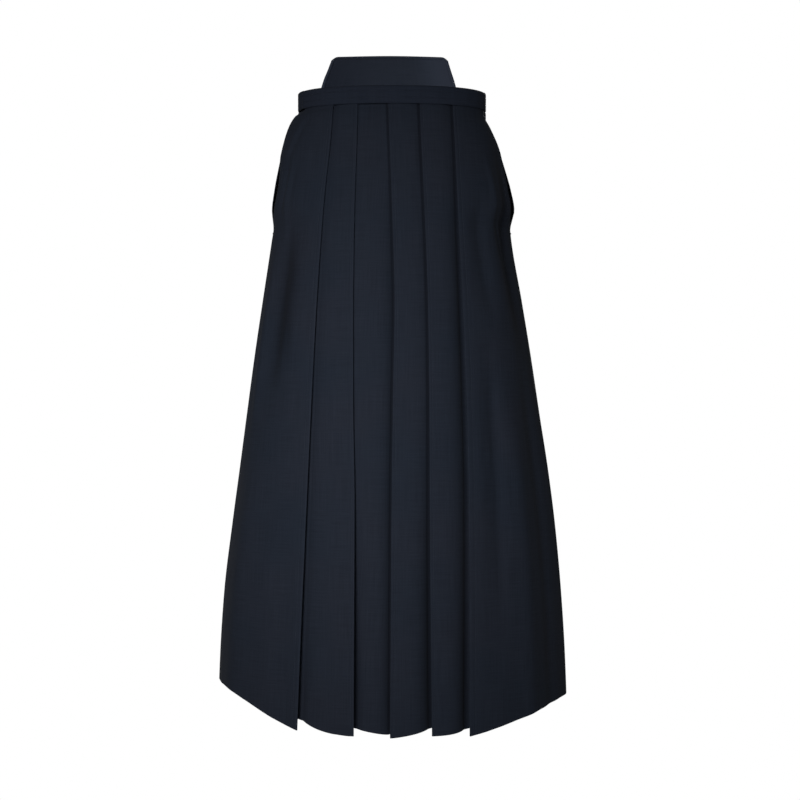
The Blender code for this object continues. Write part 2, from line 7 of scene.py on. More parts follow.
import bpy
import numpy as np
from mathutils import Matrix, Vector


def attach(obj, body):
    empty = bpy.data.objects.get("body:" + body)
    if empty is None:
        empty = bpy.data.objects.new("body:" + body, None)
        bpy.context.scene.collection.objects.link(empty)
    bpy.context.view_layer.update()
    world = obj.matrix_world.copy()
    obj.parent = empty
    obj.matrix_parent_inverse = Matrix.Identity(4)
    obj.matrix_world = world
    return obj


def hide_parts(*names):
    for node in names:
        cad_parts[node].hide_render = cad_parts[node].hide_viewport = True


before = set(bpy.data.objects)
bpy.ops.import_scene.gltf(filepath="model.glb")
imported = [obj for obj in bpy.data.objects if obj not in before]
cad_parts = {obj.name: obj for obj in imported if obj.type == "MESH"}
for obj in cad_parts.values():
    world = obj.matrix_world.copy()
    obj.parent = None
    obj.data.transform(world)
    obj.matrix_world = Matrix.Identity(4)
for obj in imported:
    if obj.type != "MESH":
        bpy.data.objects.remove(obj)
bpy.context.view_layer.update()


# The form that all the cloth follows. The garment is cut flat, and when it is worn its
# pleated legs hang as one rounded ring, narrow at the waist and full at the hem.
ROUNDNESS = 2.2
RING = np.array((
    # height, half-width right and left, depth in front and behind
    (0.014, 0.1435, 0.1435, 0.0930, 0.0930),
    (-0.016, 0.1435, 0.1435, 0.0930, 0.0930),
    (-0.024, 0.1525, 0.1445, 0.0960, 0.0965),
    (-0.041, 0.1617, 0.1531, 0.1020, 0.1040),
    (-0.072, 0.1711, 0.1672, 0.1090, 0.1140),
    (-0.103, 0.1776, 0.1766, 0.1160, 0.1230),
    (-0.134, 0.1830, 0.1850, 0.1220, 0.1310),
    (-0.165, 0.1865, 0.1902, 0.1285, 0.1380),
    (-0.181, 0.1849, 0.1865, 0.1315, 0.1410),
    (-0.196, 0.1832, 0.1833, 0.1345, 0.1440),
    (-0.212, 0.1855, 0.1848, 0.1370, 0.1465),
    (-0.305, 0.1995, 0.2005, 0.1510, 0.1610),
    (-0.390, 0.2120, 0.2142, 0.1640, 0.1740),
    (-0.480, 0.2240, 0.2275, 0.1775, 0.1870),
    (-0.560, 0.2345, 0.2395, 0.1880, 0.1980),
    (-0.650, 0.2465, 0.2510, 0.1990, 0.2090),
    (-0.750, 0.2585, 0.2600, 0.2110, 0.2200),
    (-0.840, 0.2645, 0.2655, 0.2210, 0.2290),
    (-0.950, 0.2685, 0.2695, 0.2300, 0.2370),
))
HEM = -0.940

# Soft folds in the hanging cloth, as a path round the ring from top to bottom, half as
# wide as given and raised or sunk by the depth. Those that end above the hem fade out.
DRAPE = (
    # degrees at top and bottom, top, bottom, half-width, depth
    (-56.5, -61.6, -0.085, -0.270, 0.010, 0.0022),
    (-52.0, -57.0, -0.075, -0.200, 0.008, -0.0022),
    (-57.0, -56.0, -0.150, -0.520, 0.024, -0.0085),
    (-49.0, -67.6, -0.020, -0.120, 0.005, -0.0025),
    (-54.0, -73.0, -0.020, -0.120, 0.006, 0.0020),
    (-60.0, -63.5, -0.085, -0.190, 0.007, -0.0040),
    (-48.5, -44.5, -0.320, -0.450, 0.006, -0.0020),
    (-69.0, -66.0, -0.215, -0.560, 0.014, 0.0035),
    (-60.0, -60.0, -0.500, -0.950, 0.034, 0.0052),
    (-38.0, -34.0, -0.620, -0.950, 0.018, -0.0042),
    (-77.0, -80.0, -0.480, -0.950, 0.020, -0.0012),
    (42.5, 45.0, -0.120, -0.370, 0.017, -0.0050),
    (72.0, 70.0, -0.030, -0.450, 0.030, -0.0100),
    (54.0, 53.5, -0.080, -0.215, 0.008, 0.0022),
    (57.0, 63.5, -0.160, -0.280, 0.007, -0.0022),
    (41.5, 33.5, -0.320, -0.900, 0.014, -0.0068),
    (50.0, 47.0, -0.400, -0.950, 0.020, 0.0046),
    (64.0, 61.0, -0.330, -0.950, 0.018, -0.0040),
    (76.0, 75.0, -0.380, -0.950, 0.022, 0.0032),
    (110.0, 116.0, -0.160, -0.950, 0.024, -0.0060),
    (127.0, 131.0, -0.120, -0.950, 0.028, 0.0058),
    (144.0, 146.0, -0.260, -0.950, 0.020, -0.0056),
    (160.0, 161.0, -0.420, -0.950, 0.024, 0.0046),
    (133.0, 120.0, -0.060, -0.330, 0.012, -0.0028),
    (-106.0, -111.0, -0.200, -0.950, 0.022, -0.0056),
    (-121.0, -125.0, -0.130, -0.950, 0.027, 0.0060),
    (-137.0, -141.0, -0.300, -0.950, 0.022, -0.0054),
    (-155.0, -156.0, -0.360, -0.950, 0.024, 0.0050),
    (-134.0, -122.0, -0.060, -0.300, 0.011, -0.0026),
)


def along(table, column, where):
    """Reads a table's column along a smooth curve that never swings past its rows."""
    order = np.argsort(table[:, 0])
    x, y = table[order, 0], table[order, column]
    gap, slope = np.diff(x), np.diff(y) / np.diff(x)
    lean = np.zeros_like(y)
    lean[0], lean[-1] = slope[0], slope[-1]
    same = slope[:-1] * slope[1:] > 0.0
    first, second = 2 * gap[1:] + gap[:-1], gap[1:] + 2 * gap[:-1]
    with np.errstate(divide="ignore", invalid="ignore"):
        mean = (first + second) / (first / slope[:-1] + second / slope[1:])
    lean[1:-1] = np.where(same, mean, 0.0)
    i = np.clip(np.searchsorted(x, where, side="right") - 1, 0, len(x) - 2)
    t = np.clip((where - x[i]) / gap[i], 0.0, 1.0)
    rise = y[i] * (1 + 2 * t) * (1 - t) ** 2 + y[i + 1] * t * t * (3 - 2 * t)
    return rise + gap[i] * (lean[i] * t * (1 - t) ** 2 - lean[i + 1] * t * t * (1 - t))


def ease(value):
    value = np.clip(value, 0.0, 1.0)
    return value * value * (3.0 - 2.0 * value)


def along_fold(turn, height, top_turn, low_turn, top, low, wide, depth):
    down = (top - height) / (top - low)
    line = np.radians(top_turn + (low_turn - top_turn) * np.clip(down, 0.0, 1.0))
    off = np.angle(np.exp(1j * (turn - line))) * along(RING, 1, height)
    strength = ease(down / 0.35) * (ease((1.0 - down) / 0.45) if low > HEM else 1.0)
    return depth * strength * np.exp(-((off / wide) ** 2))


def drape(turn, height):
    """How far the hanging cloth stands out from its plain ring."""
    return sum(along_fold(turn, height, *fold) for fold in DRAPE)


def ring_point(turn, height, inset=0.0, hangs=True):
    """Points round the ring, measured from the front centre and moved inward by the inset."""
    turn, height, inset = np.broadcast_arrays(turn, height, inset)
    side, face = np.sin(turn), np.cos(turn)
    wide = np.where(side > 0.0, along(RING, 2, height), along(RING, 1, height))
    deep = np.where(face >= 0.0, along(RING, 3, height), along(RING, 4, height))
    x = np.sign(side) * np.abs(side) ** (2.0 / ROUNDNESS)
    y = -np.sign(face) * np.abs(face) ** (2.0 / ROUNDNESS)
    slope_x = np.sign(x) * np.abs(x) ** (ROUNDNESS - 1.0) / wide
    slope_y = np.sign(y) * np.abs(y) ** (ROUNDNESS - 1.0) / deep
    steep = np.hypot(slope_x, slope_y)
    inward = inset - (drape(turn, height) if hangs else 0.0)
    return np.stack((wide * x - inward * slope_x / steep,
                     deep * y - inward * slope_y / steep, height), axis=-1)


def turn_at(x, height, behind=False):
    """Angle round the ring at which it passes a given x."""
    wide = np.where(x > 0.0, along(RING, 2, height), along(RING, 1, height))
    turn = np.sign(x) * np.arcsin(np.minimum(1.0, np.abs(x) / wide) ** (ROUNDNESS / 2.0))
    return np.pi - turn if behind else turn


# Leg panels, front and back. Straight lengths of twill are pressed into pleats: A and B
# tuck towards the right side, C, D and E towards the left. The hem is turned up inside,
# and the edges of the side slits are turned back and stitched.
FOLDS = np.array((
    # height, A, B, C, D, E, across from the centre line
    (0.014, -0.0885, -0.0520, -0.0065, 0.0420, 0.0915),
    (-0.020, -0.0895, -0.0520, -0.0055, 0.0425, 0.0930),
    (-0.180, -0.1035, -0.0560, 0.0005, 0.0490, 0.0995),
    (-0.320, -0.1125, -0.0575, 0.0040, 0.0535, 0.1060),
    (-0.460, -0.1190, -0.0570, 0.0015, 0.0550, 0.1105),
    (-0.620, -0.1255, -0.0545, -0.0005, 0.0553, 0.1128),
    (HEM, -0.1360, -0.0550, -0.0025, 0.0574, 0.1114),
))
BACK, A, B, C, D, E = range(6)
BACK_FOLD_X = 0.004
TUCKS = {BACK: -1, A: -1, B: -1, C: 1, D: 1, E: 1}
NEXT_FOLD = {B: A, C: D, D: E}
HEMS = {
    # fold: at its edge, on the panel below
    BACK: (-0.926, -0.920), A: (-0.937, -0.925), B: (-0.942, -0.9345),
    C: (-0.944, -0.942), D: (-0.942, -0.934), E: (-0.944, -0.937),
}
# How far the panel below sinks beside each fold, from which height and over what length,
# and how far the fold's foot swings out
SINKS = {
    BACK: (0.002, -0.10, 0.45), A: (0.0018, -0.10, 0.45), B: (0.0090, -0.50, 0.40),
    C: (0.0080, -0.06, 0.26), D: (0.0062, -0.42, 0.40), E: (0.0070, 0.0, 0.40),
}
SWINGS = {BACK: 0.004, A: 0.0045, B: 0.0020, C: 0.0040, D: 0.0022, E: 0.0034}
CORNER_HEM = np.array((
    # share of the way from the last fold to the side, hem of panel 1 and of panel 6
    (0.0, -0.9370, -0.9440), (0.1, -0.9293, -0.9378), (0.2, -0.9185, -0.9308),
    (0.3, -0.9090, -0.9240), (0.4, -0.9003, -0.9178), (0.5, -0.8925, -0.9142),
    (0.6, -0.8890, -0.9110), (0.7, -0.8882, -0.9070), (0.8, -0.8882, -0.9055),
    (1.0, -0.8882, -0.9048),
))
RIGHT_CORNER, LEFT_CORNER = CORNER_HEM[-1, 1:]
CENTRE_SEAM_HEM, SEAM_GAP = -0.932, 0.00003
FRONT_TOP, BACK_TOP, SLIT_BOTTOM = 0.0122, -0.008, -0.196
GUSSET_BOTTOM, CROTCH = -0.560, -0.480
FOLD_RADIUS, FOLD_LIP, CLOTH = 0.00085, 0.003, 0.0007
HALF_CLOTH, TURNED_EDGE = 0.5 * CLOTH, 1.15 * CLOTH
HEM_TURN, SLIT_TURN = 0.036, 0.012
FRONT_EDGE = np.array((
    # height, right and left edge of the front, as shares of the half-width
    (0.014, 0.925, 0.985), (-0.015, 0.925, 0.985), (-0.0185, 0.972, 0.985),
    (-0.032, 0.982, 0.990), (-0.041, 0.986, 0.990), (-0.072, 0.986, 0.990),
    (-0.088, 0.984, 0.988), (-0.098, 0.972, 0.986), (-0.108, 0.960, 0.985),
    (-0.120, 0.953, 0.984), (-0.134, 0.950, 0.983), (-0.152, 0.955, 0.984),
    (-0.165, 0.965, 0.985), (-0.181, 0.985, 0.991), (SLIT_BOTTOM, 1.000, 1.000),
))
BACK_EDGE = np.array((
    # height, degrees from the front centre to the back's edge
    (BACK_TOP, 122.0), (-0.024, 108.0), (-0.041, 100.0), (-0.072, 96.0),
    (-0.103, 94.0), (-0.134, 93.0), (-0.165, 92.0), (SLIT_BOTTOM, 90.0),
))


def down(height):
    """0 at the waistband and 1 at the hem."""
    return np.clip(height / HEM, 0.0, 1.0)


def reach(height):
    return 0.025 + 0.015 * down(height)


def layer(height):
    return 0.0017 + 0.0023 * down(height)


def fold_x(fold, height):
    return BACK_FOLD_X + 0.0 * height if fold == BACK else along(FOLDS, fold, height)


def top_slope(fold, height):
    """How the panel on top of a pleat sinks on its way to the next fold."""
    if fold not in NEXT_FOLD:
        return 0.0 * height
    width = np.abs(fold_x(fold, height) - fold_x(NEXT_FOLD[fold], height)) - FOLD_LIP
    return (2.0 * layer(height) + sink(NEXT_FOLD[fold], height)) / width


def sink(fold, height):
    depth, top, length = SINKS[fold]
    return depth * ease((top - height) / length)


def swing(fold, way, height):
    return SWINGS[fold] * ease((-0.55 - height) / 0.40) * np.exp(-np.maximum(way, 0.0) / 0.03)


def pleat_line(fold, way, depth, hem, sunk=False):
    """A line down the cloth, so far under from a fold edge and so deep behind it."""
    def place(height):
        under = way(height) if callable(way) else way + 0.0 * height
        turn = turn_at(fold_x(fold, height) + TUCKS[fold] * under, height, fold == BACK)
        inset = depth(height) + top_slope(fold, height) * np.maximum(0.0, under)
        inset = inset + (sink(fold, height) if sunk else -swing(fold, under, height))
        return turn, inset
    return place, hem


# Lines round a fold's edge, the middle one of them, and from there to the middle of its tuck
EDGE_LINES = 7
EDGE_MIDDLE, TO_TUCK = EDGE_LINES // 2, 11


def pleat(fold, inner=True):
    """The lines of a pleat, from the panel on top round its edge to the panel below."""
    edge_hem, below_hem = HEMS[fold]
    lines = []
    for angle in np.linspace(0.0, np.pi, EDGE_LINES):
        way = FOLD_RADIUS * (1.0 - math.sin(angle))
        lift = FOLD_RADIUS * (1.0 - math.cos(angle))
        lines.append(pleat_line(fold, way, lambda h, lift=lift: lift + 0.0 * h, edge_hem))
    if not inner:
        return lines
    hidden = below_hem + 0.002
    for share in (0.2, 0.4, 0.6, 0.8):
        lines.append(pleat_line(
            fold, lambda h, s=share: FOLD_RADIUS + s * (reach(h) - 0.5 * layer(h) - FOLD_RADIUS),
            lambda h, s=share: 2 * FOLD_RADIUS + s * (layer(h) - 2 * FOLD_RADIUS), hidden))
    for angle in np.linspace(0.0, np.pi, EDGE_LINES):
        lines.append(pleat_line(
            fold, lambda h, a=angle: reach(h) - 0.5 * layer(h) * (1.0 - math.sin(a)),
            lambda h, a=angle: 1.5 * layer(h) - 0.5 * layer(h) * math.cos(a), hidden))
    for share in (0.8, 0.6, 0.4, 0.2):
        def below(h, s=share):
            return s * (reach(h) - 0.5 * layer(h)) - (1.0 - s) * FOLD_LIP

        def deep(h, s=share):
            return 2.0 * layer(h) + (1.0 - s) * (sink(fold, h) + swing(fold, 0.0, h))
        lines.append(pleat_line(fold, below, deep, hidden))
    lines.append(below_line(fold))
    return lines


def below_line(fold):
    """Where the panel below comes out from under a fold edge."""
    return pleat_line(fold, -FOLD_LIP, lambda h: 2.0 * layer(h), HEMS[fold][1], sunk=True)


def side_line(side, behind, hem):
    """Side edge of a leg: free along the slit, then the side seam."""
    def place(height):
        deep = along(RING, 4 if behind else 3, height)
        seam = side * (0.5 * np.pi - np.arcsin((SEAM_GAP / deep) ** (ROUNDNESS / 2.0)))
        if behind:
            free = side * np.radians(along(BACK_EDGE, 1, height))
            turn = np.where(height <= SLIT_BOTTOM, side * np.pi - seam, free)
            turn = np.where(turn < 0.0, turn + 2.0 * np.pi, turn)
        else:
            share = along(FRONT_EDGE, 1 if side < 0 else 2, height)
            wide = along(RING, 1 if side < 0 else 2, height)
            turn = np.where(height <= SLIT_BOTTOM, seam, turn_at(side * share * wide, height))
        return turn, 0.0 * height
    return place, hem


def between(first, second, shares, curve=1.0, groove=None, bend=1.0):
    """Lines across a panel. The curve is the hem's, flat beside the first line, and the
    bend leaves the panel full until it dips to the second line."""
    lines = []
    for share in shares:
        def place(height, share=share):
            s = share(height) if callable(share) else share
            one, two = first[0](height), second[0](height)
            inset = one[1] + (two[1] - one[1]) * s ** bend
            if groove:
                inset = inset + groove(s, height)
            return one[0] + (two[0] - one[0]) * s, inset
        at_hem = share(np.array(HEM)) if callable(share) else share
        lines.append((place, first[1] + (second[1] - first[1]) * float(at_hem) ** curve))
    return lines


# Distances from a fold edge, and how the row of stitches there draws the cloth in
NEAR_FOLD = ((0.0018, 0.0), (0.0028, 0.00003), (0.0035, 0.00012), (0.0040, 0.00024),
             (0.0045, 0.00012), (0.0053, 0.00003), (0.0075, 0.0), (0.0115, 0.0))


def from_fold(edge, other, steps, curve, fold, other_fold=None, bend=1.0):
    """Lines of a visible panel, from its own stitched fold edge to its other side."""
    def width(height):
        if other_fold is None:
            return 0.08 + 0.05 * down(height)
        return np.abs(fold_x(other_fold, height) - fold_x(fold, height))

    lines = []
    for distance, drawn in NEAR_FOLD:
        lines += between(
            edge, other, [lambda h, d=distance: (d - FOLD_RADIUS) / width(h)], curve,
            lambda s, h, drawn=drawn: drawn + 0.0 * h, bend)
    start = NEAR_FOLD[-1][0] / width(np.array(-0.02))
    crowding = 1.6 if bend > 1.0 else 1.0
    shares = start + (1.0 - start) * (1.0 - np.linspace(1.0, 0.0, steps) ** crowding)
    return lines + between(edge, other, shares[1:-1], curve, bend=bend)


def leg_split(height):
    return 0.006 + 0.008 * np.clip((height - GUSSET_BOTTOM) / (HEM - GUSSET_BOTTOM), 0.0, 1.0)


def centre_ply(fold, past, inner_ply, height):
    """Angle and inset of a centre pleat's ply, so far past the pleat's reach."""
    way = reach(height) + past
    turn = turn_at(fold_x(fold, height) + TUCKS[fold] * way, height, fold == BACK)
    seamed = layer(height) + 0.0014
    free = np.clip((height - GUSSET_BOTTOM) / (HEM - GUSSET_BOTTOM), 0.0, 1.0)
    ply = seamed + (2.0 * layer(height) - seamed) * free if inner_ply else layer(height)
    ply = ply + (0.3 * sink(fold, height) if inner_ply else 0.0)
    return turn, ply + top_slope(fold, height) * way


def seam_line(fold, inner_ply, hem):
    def place(height):
        past = (-0.5 if inner_ply else 0.5) * leg_split(height) + 0.002
        return centre_ply(fold, past, inner_ply, height)
    return place, hem


def levels(top, hem):
    """Heights of the points down one line, close together at its top and its turned-up hem."""
    turned = hem + HEM_TURN
    upper = np.concatenate((np.linspace(top, top - 0.050, 20, endpoint=False),
                            np.linspace(top - 0.050, turned + 0.0005, 118)))
    lower = hem + np.array((0.0355, 0.027, 0.018, 0.010, 0.005, 0.002, 0.0007, 0.0))
    return np.concatenate((upper, lower))


def unit(vectors):
    return vectors / np.maximum(np.linalg.norm(vectors, axis=-1, keepdims=True), 1e-9)


def lengths(rows, axis=0):
    """Distances between neighbouring points."""
    return np.linalg.norm(np.diff(rows, axis=axis), axis=-1)


def offset_rows(rows, distance):
    """Rows of points moved sideways, square to the cloth, with mitred corners."""
    run = unit(np.diff(rows[..., :2], axis=1))
    before = np.concatenate((run[:, :1], run), axis=1)
    after = np.concatenate((run, run[:, -1:]), axis=1)
    middle = unit(before + after)
    mitre = 1.0 / np.maximum(0.6, np.sum(middle * before, axis=-1))
    moved = rows.copy()
    moved[..., 0] += distance * mitre * middle[..., 1]
    moved[..., 1] -= distance * mitre * middle[..., 0]
    return moved


def add_object(name, data):
    made = bpy.data.objects.new(name, data)
    bpy.context.collection.objects.link(made)
    return made


def add_mesh(name, points, faces, material, uvs=None, painted_light=None):
    """A new piece on the one body, smooth, with its cloth laid out flat in metres."""
    mesh = bpy.data.meshes.new(name)
    mesh.from_pydata(points.tolist(), [], faces if isinstance(faces, list) else faces.tolist())
    mesh.polygons.foreach_set("use_smooth", np.ones(len(mesh.polygons), bool))
    if uvs is not None:
        corner = np.zeros(len(mesh.loops), np.int32)
        mesh.loops.foreach_get("vertex_index", corner)
        mesh.uv_layers.new(name="cloth").data.foreach_set("uv", uvs[corner].ravel())
    if painted_light is not None:
        # The layer of painted light: painted highlights and painted shade in the cloth's colour
        worn = mesh.attributes.new("painted_light", "FLOAT", "POINT")
        worn.data.foreach_set("value", painted_light.astype(np.float32))
    mesh.materials.append(material)
    mesh.update()
    piece = add_object(name, mesh)
    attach(piece, "root")
    return piece


def dress(piece, node_name):
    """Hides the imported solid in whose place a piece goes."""
    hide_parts(node_name)


def hex_colour(code):
    """An sRGB hex colour as linear values."""
    parts = [int(code[i:i + 2], 16) / 255.0 for i in (1, 3, 5)]
    linear = [p / 12.92 if p <= 0.04045 else ((p + 0.055) / 1.055) ** 2.4 for p in parts]
    return (*linear, 1.0)


def node(tree, kind, links=(), **settings):
    """Adds a shader node with its settings and links. A link to a node takes its first output."""
    made = tree.nodes.new("ShaderNode" + kind)
    for key, value in settings.items():
        if key.startswith("in_"):
            made.inputs[int(key[3:])].default_value = value
        else:
            setattr(made, key, value)
    for index, source in links:
        tree.links.new(getattr(source, "outputs", (source,))[0], made.inputs[index])
    return made


def new_material(name):
    material = bpy.data.materials.new(name)
    material.use_nodes = True
    return material, material.node_tree, material.node_tree.nodes["Principled BSDF"]


def navy_twill(name, dark, light, wale=0.0011, lean=1.1, slub=0.5, painted_light_strength=0.22, rough=0.86, gloss=0.04):
    """Matt polyester and rayon twill, piece-dyed navy: a fine diagonal rib over uneven yarn
    gives it a dry, almost black face. A layer of painted light on the mesh lightens it into
    painted highlights on edges and darkens it into painted shade. The real rib is 0.5 mm
    wide; it is drawn about twice as coarse so that it shows close up."""
    material, tree, shader = new_material(name)
    cloth = node(tree, "UVMap", uv_map="cloth")
    parts = node(tree, "SeparateXYZ", [(0, cloth)])
    # Diagonal rib of the twill
    across = node(tree, "Math", [(0, parts)], operation="MULTIPLY", in_1=2.0 * math.pi / wale)
    up = node(tree, "Math", [(0, parts.outputs[1])], operation="MULTIPLY",
              in_1=-2.0 * math.pi / (wale * lean))
    both = node(tree, "Math", [(0, across), (1, up)])
    rib = node(tree, "Math", [(0, both)], operation="SINE")
    # Weft yarns across the rib, 0.6 mm apart
    weft = node(tree, "Math", [(0, parts.outputs[1])], operation="MULTIPLY",
                in_1=2.0 * math.pi / 0.0006)
    picks = node(tree, "Math", [(0, weft)], operation="SINE")
    weave = node(tree, "Math", [(0, picks), (2, rib)], operation="MULTIPLY_ADD", in_1=0.35)
    # Uneven warp yarns, about 1.5 mm wide and 60 mm long, and weft ones
    warp_map = node(tree, "Mapping", [(0, cloth)], in_3=(650.0, 16.0, 1.0))
    warp = node(tree, "TexNoise", [(0, warp_map)], in_2=1.0, in_3=2.0)
    weft_map = node(tree, "Mapping", [(0, cloth)], in_3=(24.0, 700.0, 1.0))
    weft_slub = node(tree, "TexNoise", [(0, weft_map)], in_2=1.0, in_3=2.0)
    slubs = node(tree, "Math", [(0, warp), (1, weft_slub)])
    # Broad patches where the dye took unevenly, about 120 mm across
    place = node(tree, "TexCoord")
    patch = node(tree, "TexNoise", [(0, place.outputs[3])], in_2=8.0, in_3=2.0)
    # Painted light laid on the mesh: painted highlights on edges and painted shade, scaled by its
    # strength
    worn = node(tree, "Attribute", attribute_name="painted_light")
    # Lightness from 0, dark, to 1, light
    tone = node(tree, "Math", [(0, weave)], operation="MULTIPLY_ADD", in_1=0.10, in_2=0.5 - slub)
    tone = node(tree, "Math", [(0, slubs), (2, tone)], operation="MULTIPLY_ADD", in_1=slub)
    tone = node(tree, "Math", [(0, worn.outputs[2]), (2, tone)],
                operation="MULTIPLY_ADD", in_1=painted_light_strength, use_clamp=True)
    dyed = node(tree, "Mix", [(0, tone)], data_type="RGBA")
    dyed.inputs[6].default_value, dyed.inputs[7].default_value = hex_colour(dark), hex_colour(light)
    tint = node(tree, "MapRange", [(0, patch)], in_1=0.35, in_2=0.65, in_3=0.0, in_4=0.55)
    tinted = node(tree, "Mix", [(0, tint), (6, dyed.outputs[2])],
                  data_type="RGBA", blend_type="MULTIPLY")
    tinted.inputs[7].default_value = hex_colour("#e6f6fb")
    tree.links.new(tinted.outputs[2], shader.inputs["Base Color"])
    dry = node(tree, "MapRange", [(0, slubs)], in_1=0.6, in_2=1.4, in_3=rough + 0.05, in_4=rough - 0.05)
    tree.links.new(dry.outputs[0], shader.inputs["Roughness"])
    height = node(tree, "Math", [(0, slubs), (2, weave)], operation="MULTIPLY_ADD", in_1=0.8)
    bump = node(tree, "Bump", [(2, height)])
    bump.inputs["Strength"].default_value = 0.35
    bump.inputs["Distance"].default_value = 0.00012
    tree.links.new(bump.outputs[0], shader.inputs["Normal"])
    shader.inputs["Sheen Weight"].default_value = 0.02
    shader.inputs["Sheen Roughness"].default_value = 0.45
    shader.inputs["Specular IOR Level"].default_value = gloss
    shader.inputs["IOR"].default_value = 1.53
    return material


leg_twill = navy_twill("navy_twill_pressed_pleats", "#1a1d25", "#2b303b")


def add_cloth(name, rows, thick_out, thick_in, flat_x, flat_y, pressed, material):
    """A thin closed shell on both sides of rows of points, top row first, round at its foot."""
    tall, wide = rows.shape[:2]
    outer = offset_rows(rows, thick_out)
    inner = offset_rows(rows, -thick_in)
    foot = 0.5 * (outer[-1:] + inner[-1:])
    foot[..., 2] -= 0.0005
    skin = np.concatenate((outer, foot, inner[::-1]), axis=0)
    loop = len(skin)
    number = np.arange(loop * wide).reshape(loop, wide)
    faces = np.stack((number[:-1, :-1], number[1:, :-1], number[1:, 1:], number[:-1, 1:]), axis=-1)
    top = np.stack((number[0, 1:], number[-1, 1:], number[-1, :-1], number[0, :-1]), axis=1)
    faces = faces.reshape(-1, 4).tolist() + top[:, ::-1].tolist()
    for column in (0, wide - 1):
        one, two = number[:tall, column], number[::-1, column][:tall]
        strip = np.stack((one[:-1], two[:-1], two[1:], one[1:]), axis=1)
        tip = np.array([[one[-1], two[-1], number[tall, column]]])
        faces += (strip if column == 0 else strip[:, ::-1]).tolist()
        faces += (tip if column == 0 else tip[:, ::-1]).tolist()
    flat_y = np.concatenate((flat_y, flat_y[-1:], flat_y[::-1]), axis=0)
    flat_x = np.concatenate((flat_x, flat_x[-1:], flat_x[::-1]), axis=0)
    # The painted highlights and painted shade go on both faces; the rounded foot, the hem's fold, gets
    # at least half a painted highlight
    worn = np.concatenate((pressed, pressed[-1:], pressed[::-1]), axis=0)
    worn[tall - 2:tall + 3] = np.maximum(worn[tall - 2:tall + 3], 0.5)
    uvs = np.stack((flat_x.ravel(), flat_y.ravel()), axis=1)
    return add_mesh(name, skin.reshape(-1, 3), faces, material, uvs, worn.ravel())


def add_leg(name, node_name, lines, anchors, top, slit_side, shine=1.0, painted_shade_valleys=()):
    """A wall of twill through its lines. Anchors are the lines at which the weave runs true.
    Valleys are those beside a fold where the key light reaches in, so their shade is
    painted on as darker cloth."""
    heights = np.stack([levels(top, hem) for place, hem in lines], axis=1)
    turns, insets = np.zeros_like(heights), np.zeros_like(heights)
    for column, (place, hem) in enumerate(lines):
        turns[:, column], insets[:, column] = place(heights[:, column])
    rows = ring_point(turns, heights, insets)
    tall, wide = heights.shape
    steps = lengths(rows[..., :2], 1)
    run = np.concatenate((np.zeros((tall, 1)), np.cumsum(steps, axis=1)), axis=1)
    anchored = np.zeros(wide, int)
    for start, anchor in anchors:
        anchored[start:] = anchor
    flat_x = run - run[:, anchored] + WEAVE_SHIFT * anchored
    # The turned-up hem and the turned-back slit edge are two plies thick
    hems = np.array([hem for place, hem in lines])
    thick = np.full(heights.shape, HALF_CLOTH)
    thick[heights < hems + HEM_TURN] = TURNED_EDGE
    from_edge = run if slit_side == "first" else run[:, -1:] - run
    thick[(from_edge < SLIT_TURN) & (heights > SLIT_BOTTOM - 0.004)] = TURNED_EDGE
    # Painted highlights along the fold edges at the anchors, as strong as shine
    pressed = np.zeros(wide)
    for start, anchor in anchors:
        off = run[tall // 2] - run[tall // 2, anchor]
        pressed = np.maximum(pressed, shine * np.exp(-((off / EDGE_SHINE) ** 2)))
    # Painted shade in the valleys beside folds, and the painted shade patch on panel 1
    for column in painted_shade_valleys:
        off = run[tall // 2] - run[tall // 2, column]
        pressed = pressed - VALLEY * np.exp(-((off / VALLEY_WIDE) ** 2))
    pressed = pressed - along_fold(turns, heights, *PAINTED_SHADE_PATCH)
    piece = add_cloth(name, rows, HALF_CLOTH, thick, flat_x, heights, pressed, leg_twill)
    dress(piece, node_name)
    return piece


# How dark the painted shade in a valley is and how wide, and how wide a fold edge's painted highlight is
VALLEY, VALLEY_WIDE, EDGE_SHINE = 3.0, 0.0018, 0.0022
# Shifts the weave from one anchor to the next, so that its pattern doesn't repeat
WEAVE_SHIFT = 0.31
# Painted shade: a soft dark patch on panel 1, laid out like the soft folds. Its shallow dip
# is too slight to shade it, so the shade is painted on as darker cloth
PAINTED_SHADE_PATCH = (-51.5, -52.5, -0.190, -0.470, 0.024, 2.3)


def flipped(lines):
    return lines[::-1]


def corner_panel(edge_line, fold, side, steps):
    """Panel 1 or 6, whose hem drops from the side corner in a curve."""
    lines = []
    for place, hem in from_fold(edge_line, side, steps, 1.0, fold):
        share = (hem - edge_line[1]) / (side[1] - edge_line[1])
        lines.append((place, float(along(CORNER_HEM, 1 if fold == A else 2, share))))
    return lines


def folded_edge(fold, hem):
    """Lines of a centre fold from its seam, and which of them is the middle of its edge."""
    seam, edge = seam_line(fold, False, hem), flipped(pleat(fold, inner=False))
    lines = [seam, *between(seam, edge[0], (0.2, 0.4, 0.6, 0.8)), *edge]
    return lines, len(lines) - 1 - EDGE_MIDDLE


def under_fold(fold, below, hem):
    """Lines of the wall that goes under a centre fold, to its seam."""
    seam = seam_line(fold, True, hem)
    return [below, *between(below, seam, (0.25, 0.5, 0.75)), seam]


